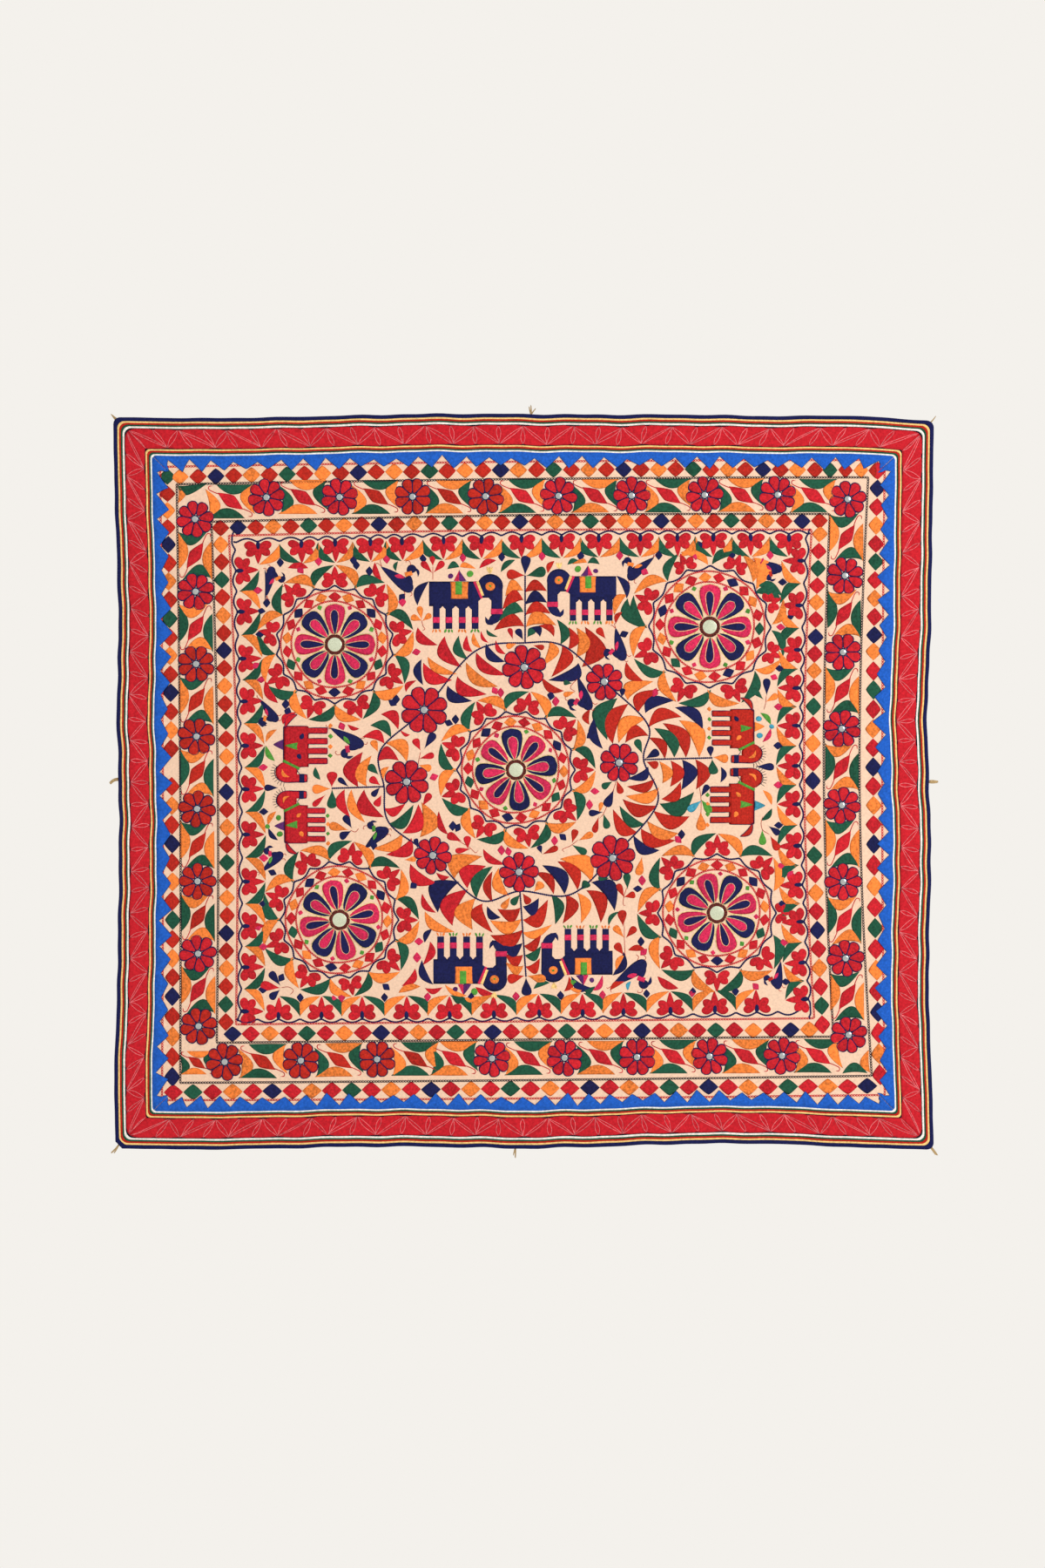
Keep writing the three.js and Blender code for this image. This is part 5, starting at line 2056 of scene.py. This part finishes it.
@dataclass(frozen=True)
class RedBorder:
    """Red strips quilted with pale thread: a zigzag of long lenses, with narrow leaves at its turns.

    The lens, the leaf, their wander and the gap at the ends are shares of a period, and the margin is a
    share of the width.
    """

    outer: float = BORDER_EDGES[0]
    inner: float = BORDER_EDGES[1]
    front: float = 1.7
    back: float = 0.3
    puff: float = 0.9
    periods: int = 16
    columns: int = 9
    steps: int = 288
    lens: Pair = (0.055, 0.05)
    leaf: float = 0.045
    wander: float = 0.03
    end_gap: float = 0.02
    margin: float = 0.04
    thread_mm: float = 0.9

    def relief(self, phase: np.ndarray, across: np.ndarray) -> np.ndarray:
        """Height of the quilting: low along the zigzag and along the leaves at its turns, puffed between.

        Args:
            phase: periods along the strip.
            across: share of the width from the inner edge.

        Returns:
            The height.
        """
        part = phase - np.floor(phase)
        zigzag = np.abs(2 * part - 1)
        near = np.exp(-(((across - zigzag) / 0.22) ** 2))
        to_turn = np.minimum(np.minimum(part, 1 - part), np.abs(part - 0.5))
        leaf = np.exp(-((to_turn / 0.05) ** 2))
        return self.puff * (1 - near) * (1 - 0.8 * leaf)

    def places(self, surface: HangSurface, side: int, phase: np.ndarray, across: np.ndarray) -> np.ndarray:
        """Return face places of a side's points, by periods along and the share across from inside."""
        along = surface.station(phase / self.periods, side, (self.inner + self.outer) / 2)
        return surface.side_places(side, along, self.inner + (self.outer - self.inner) * across)

    def build(self, work: Needlework) -> list[Piece]:
        """Make the four strips and their quilting lines.

        Args:
            work: the needlework.

        Returns:
            The pieces.
        """
        maker = work.maker
        made = []
        along = np.linspace(0, self.periods, self.steps + 1)
        phase, across = np.meshgrid(along, np.linspace(0, 1, self.columns), indexing="ij")
        lifts = (self.front + self.relief(phase, across), self.back)
        finish = ClothFinish(Dye.BORDER_RED, unevenness=0.10)
        for side, name in enumerate(SIDE_NAMES):
            places = self.places(maker.surface, side, phase, across)
            made.append(maker.sheet(f"red_cloth_{name}", places, lifts, finish, f"red_border_{name}"))
            self.quilt(work, side)
        return made

    def quilt(self, work: Needlework, side: int) -> None:
        """Sew the pale lines of one strip: a long lens on each slope and a narrow leaf at each turn.

        Args:
            work: the needlework.
            side: the side's number.
        """
        share = np.linspace(0, 1, CORD_STEPS // 2 + 1)
        swell = np.sin(math.pi * share)
        breadth = self.leaf * np.sin(math.pi * share**1.6)
        for half in range(2 * self.periods):
            turn = half / 2
            up = share if half % 2 else 1 - share
            wander = self.wander * math.sin(2.3 * (half // 2) + side)
            slope = turn + 0.5 * share
            lens = (slope + (self.lens[0] + wander) * swell, slope - self.lens[1] * swell)
            leaf = (turn + wander + breadth, turn + wander - breadth)
            across = self.margin + (1 - 2 * self.margin) * up
            across = np.concatenate([across, across[-2:0:-1]])
            for there, back in (lens, leaf):
                phase = np.concatenate([there, back[-2:0:-1]])
                phase = np.clip(phase, self.end_gap, self.periods - self.end_gap)
                height = self.front + self.relief(phase, across) - GROUND_LIFT + 0.05
                line = self.places(work.maker.surface, side, phase, across)
                work.cord(line, Dye.ROSE, self.thread_mm, closed=True, lift=height)


@dataclass(frozen=True)
class Trim:
    """One narrow strip or cord that runs all round: its node, where it starts, its size and its cloth."""

    node: str
    inset: float
    width: float
    thickness: float
    dye: Dye
    cut: bool = False
    fullness: float = 1.07
    steps: int = 120
    turns: int = 5

    def build(self, maker: MeshMaker) -> Piece:
        """Make the strip as a closed tube with a flat back, a little uneven along its length.

        Args:
            maker: writes the mesh.

        Returns:
            The piece.
        """
        angle = np.linspace(0, math.pi, 7)
        across = np.concatenate([np.cos(angle), [-0.6, 0.6]])
        lift = np.concatenate([0.3 + 0.7 * np.sin(angle) ** 0.7, [0.06, 0.06]]) * self.thickness
        turn = np.linspace(-2, -1, self.turns, endpoint=False)
        stations = np.concatenate([turn, np.linspace(-1, 1, self.steps + 1), -turn[:0:-1]])
        sides = []
        for side in range(4):
            uneven = 0.10 * np.sin(stations * 31 + self.inset + side)
            uneven += 0.08 * np.sin(stations * 77 + 2 * side)
            half = self.width / 2 * (self.fullness + uneven[:, None] * 0.5)
            inset = self.inset + self.width / 2 + across * half + 0.15 * uneven[:, None]
            along = np.broadcast_to(stations[:, None], inset.shape)
            sides.append(maker.surface.side_places(side, along, inset, self.cut))
        places = np.concatenate(sides)
        number = np.arange(places[..., 0].size).reshape(places.shape[:2])
        ahead = np.roll(number, -1, axis=0)
        quads = np.stack([number, ahead, np.roll(ahead, -1, axis=1), np.roll(number, -1, axis=1)], axis=-1)
        points = maker.surface.face(places, lift)
        finish = ClothFinish(self.dye, thread_mm=0.7, unevenness=0.08)
        return maker.write(self.node + "_cloth", points, [quads.reshape(-1, 4)], finish, self.node)


@dataclass(frozen=True)
class TieEnd:
    """One free end of a tie: its heading, bend, length, width and width at the tip."""

    heading: float
    bend: float
    length: float
    width: float
    tip: float


@dataclass(frozen=True)
class Tie:
    """A short tape tucked behind the binding."""

    node: str
    across: float
    down: float
    ends: tuple[TieEnd, ...]
    tuck: float = 12.0
    rows: int = 16
    columns: int = 7

    def build(self, maker: MeshMaker) -> Piece:
        """Make the tape's ends as thin sheets with frayed tips.

        A place is the path's point plus a share of the width to its side; the path turns by the bend.

        Args:
            maker: writes the mesh.

        Returns:
            The piece.
        """
        points, faces = [], []
        anchor = maker.surface.warp(np.array(self.across), np.array(self.down))
        t = np.linspace(-0.5, 0.5, self.columns)
        for number, end in enumerate(self.ends):
            run = np.linspace(-self.tuck, end.length, self.rows)
            turn = np.radians(end.heading + end.bend * np.clip(run / end.length, 0, 1))
            way = np.stack([np.cos(turn), np.sin(turn)], axis=-1)
            legs = np.diff(run, prepend=run[0])[:, None] * way
            path = anchor - self.tuck * way[0] + np.cumsum(legs, axis=0)
            width = np.interp(run, [-self.tuck, 0, end.length], [end.width, end.width, end.tip])
            side = np.stack([-way[:, 1], way[:, 0]], axis=-1)
            places = path[:, None] + side[:, None] * (width[:, None] * t)[..., None]
            places[-1] += way[-1] * (0.9 * np.sin(5.1 * np.arange(self.columns)))[:, None]
            curl = 0.15 * np.sin(run / 5)[:, None] + 0.125 * np.cos(6 * t)
            points += [maker.surface.face(places, lift + curl) for lift in (-0.5, -1.3)]
            base = 2 * self.rows * self.columns * number
            faces += [part + base for part in slab_faces(self.rows, self.columns)]
        finish = ClothFinish(Dye.ECRU, thread_mm=0.6, unevenness=0.15, bump=0.5)
        return maker.write(self.node + "_tape", np.stack(points), faces, finish, self.node)


TRIMS = (
    Trim("edge_binding", 0.0, 6.4, 3.2, Dye.NAVY, cut=True),
    Trim("outer_fold_yellow", 6.4, 3.2, 2.8, Dye.YELLOW),
    Trim("outer_fold_red", 9.6, 3.0, 2.8, Dye.BRICK),
    Trim("outer_fold_green", 12.6, 2.6, 2.7, Dye.GREEN),
    Trim("outer_fold_white", 15.2, 3.4, 2.9, Dye.WHITE),
    Trim("outer_seam_cord", 18.6, 2.2, 2.4, Dye.BLACK),
    Trim("inner_seam_cord", 51.8, 2.2, 2.4, Dye.BLACK),
    Trim("inner_fold_yellow", 54.0, 3.0, 2.8, Dye.YELLOW),
    Trim("inner_fold_red", 57.0, 2.8, 2.8, Dye.BRICK),
    Trim("inner_fold_green", 59.8, 2.6, 2.7, Dye.GREEN),
    Trim("inner_fold_white", 62.4, 3.4, 3.0, Dye.WHITE),
)

TIES = (
    Tie("tie_top_left", -697, 3, (TieEnd(134, 0, 12, 5, 1.4),)),
    Tie("tie_top_middle", 13, 0,
        (TieEnd(112, -14, 14, 3, 1.6), TieEnd(86, 10, 16, 3, 1.6), TieEnd(58, -10, 13, 2.6, 1.4))),
    Tie("tie_top_right", 697, 2, (TieEnd(47, 8, 13, 2.6, 1.2),)),
    Tie("tie_right_middle", 700, 624, (TieEnd(16, -34, 17, 4.4, 4), TieEnd(-18, 34, 17, 4.4, 4))),
    Tie("tie_bottom_right", 697, 1257, (TieEnd(-46, -8, 17, 4.4, 2.2), TieEnd(-62, 10, 15, 3.6, 1.8))),
    Tie("tie_bottom_middle", -16, 1260, (TieEnd(-84, -10, 16, 3.4, 2), TieEnd(-110, 8, 12, 2.6, 1.4))),
    Tie("tie_bottom_left", -696, 1255, (TieEnd(-128, -10, 18, 3, 2.4), TieEnd(-112, -14, 15, 2.6, 1.8))),
    Tie("tie_left_middle", -700, 624, (TieEnd(170, 64, 18, 6, 4.6),)),
)


@dataclass(frozen=True)
class Studio:
    """Even daylight on a pale ground, seen straight on from a few metres away."""

    backdrop: tuple[int, int, int] = (244, 241, 236)
    distance: float = 7.0
    face: float = 0.004
    sensor_mm: float = 36.0
    middle_x: float = -2.25
    middle_z: float = -634.5
    dome: float = 0.875
    floor_half: float = 4.0
    floor_depth: Pair = (-7.5, 0.8)
    floor_height: float = -2.2
    window: float = 52.0
    window_size: float = 1.2
    window_place: tuple[float, float, float] = (2.6, -2.8, 0.5)
    window_turn: tuple[float, float, float] = (70.0, 0.0, 43.0)

    def build(self) -> None:
        """Set the view and place the sky, the floor, the window and the camera."""
        bpy.context.scene.view_settings.view_transform = "Standard"
        self.light_sky()
        self.lay_floor()
        self.open_window()
        self.set_camera()

    def light_sky(self) -> None:
        """Light the scene evenly; the camera sees the plain backdrop."""
        world = bpy.data.worlds.new("daylight")
        world.use_nodes = True
        nodes, links = world.node_tree.nodes, world.node_tree.links
        sky = nodes["Background"]
        sky.inputs["Color"].default_value = linear_light(self.backdrop)
        path = nodes.new("ShaderNodeLightPath")
        strength = nodes.new("ShaderNodeMapRange")
        strength.inputs["To Min"].default_value = self.dome
        strength.inputs["To Max"].default_value = 1.0
        links.new(path.outputs["Is Camera Ray"], strength.inputs["Value"])
        links.new(strength.outputs["Result"], sky.inputs["Strength"])
        bpy.context.scene.world = world

    def lay_floor(self) -> None:
        """Lay a plain floor far below the hanging, in the backdrop's colour."""
        mesh = bpy.data.meshes.new("floor")
        near, far = self.floor_depth
        places = [(-1, near), (1, near), (1, far), (-1, far)]
        corners = [(side * self.floor_half, y, self.floor_height) for side, y in places]
        mesh.from_pydata(corners, [], [(0, 1, 2, 3)])
        graph = Graph("floor_paint")
        graph.set(graph.shader, Base_Color=linear_light(self.backdrop), Roughness=0.9)
        mesh.materials.append(graph.material)
        floor = bpy.data.objects.new("floor", mesh)
        bpy.context.scene.collection.objects.link(floor)

    def open_window(self) -> None:
        """Place a soft lamp at the upper right, in front of the hanging."""
        lamp = bpy.data.lights.new("window", "AREA")
        lamp.energy = self.window
        lamp.size = self.window_size
        window = bpy.data.objects.new("window", lamp)
        window.location = self.window_place
        window.rotation_euler = np.radians(self.window_turn)
        bpy.context.scene.collection.objects.link(window)

    def set_camera(self) -> None:
        """Place the camera straight before the sheet's middle, with a lens for the sheet's height."""
        lens = bpy.data.cameras.new("camera")
        lens.sensor_fit = "VERTICAL"
        lens.sensor_height = self.sensor_mm
        lens.lens = self.sensor_mm * self.distance / (PHOTO_HEIGHT_MM * MM)
        camera = bpy.data.objects.new("camera", lens)
        camera.location = (self.middle_x * MM, -self.distance - self.face, self.middle_z * MM)
        camera.rotation_euler = (math.pi / 2, 0.0, 0.0)
        bpy.context.scene.collection.objects.link(camera)
        bpy.context.scene.camera = camera


@dataclass(frozen=True)
class CutSizes:
    """Flat sizes in metres of the cloth as it was cut, and the toothed and mitred strips' areas.

    A strip is shorter than its side of the hanging, and a mitred strip's middle line is shorter still.
    """

    ground: Pair = (1.273, 1.131)
    blue_width: float = 0.027
    blue_mean_width: float = 0.0178
    blue_shorter: Pair = (0.13, 0.15)
    red_width: float = 0.0334
    red_shorter: Pair = (0.04, 0.08)


def main() -> None:
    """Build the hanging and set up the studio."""
    logging.basicConfig(level=logging.INFO, format="%(name)s %(message)s")
    maker = MeshMaker()
    work = Needlework(maker)
    Embroidery(work).stitch()
    ground = GroundCloth().build(maker)
    blue = BlueStrips().build(work)
    red = RedBorder().build(work)
    trims = [trim.build(maker) for trim in TRIMS]
    ties = [tie.build(maker) for tie in TIES]
    sewn = MirrorWork(work).build() + work.sew()
    Studio().build()


if __name__ == "__main__":
    main()
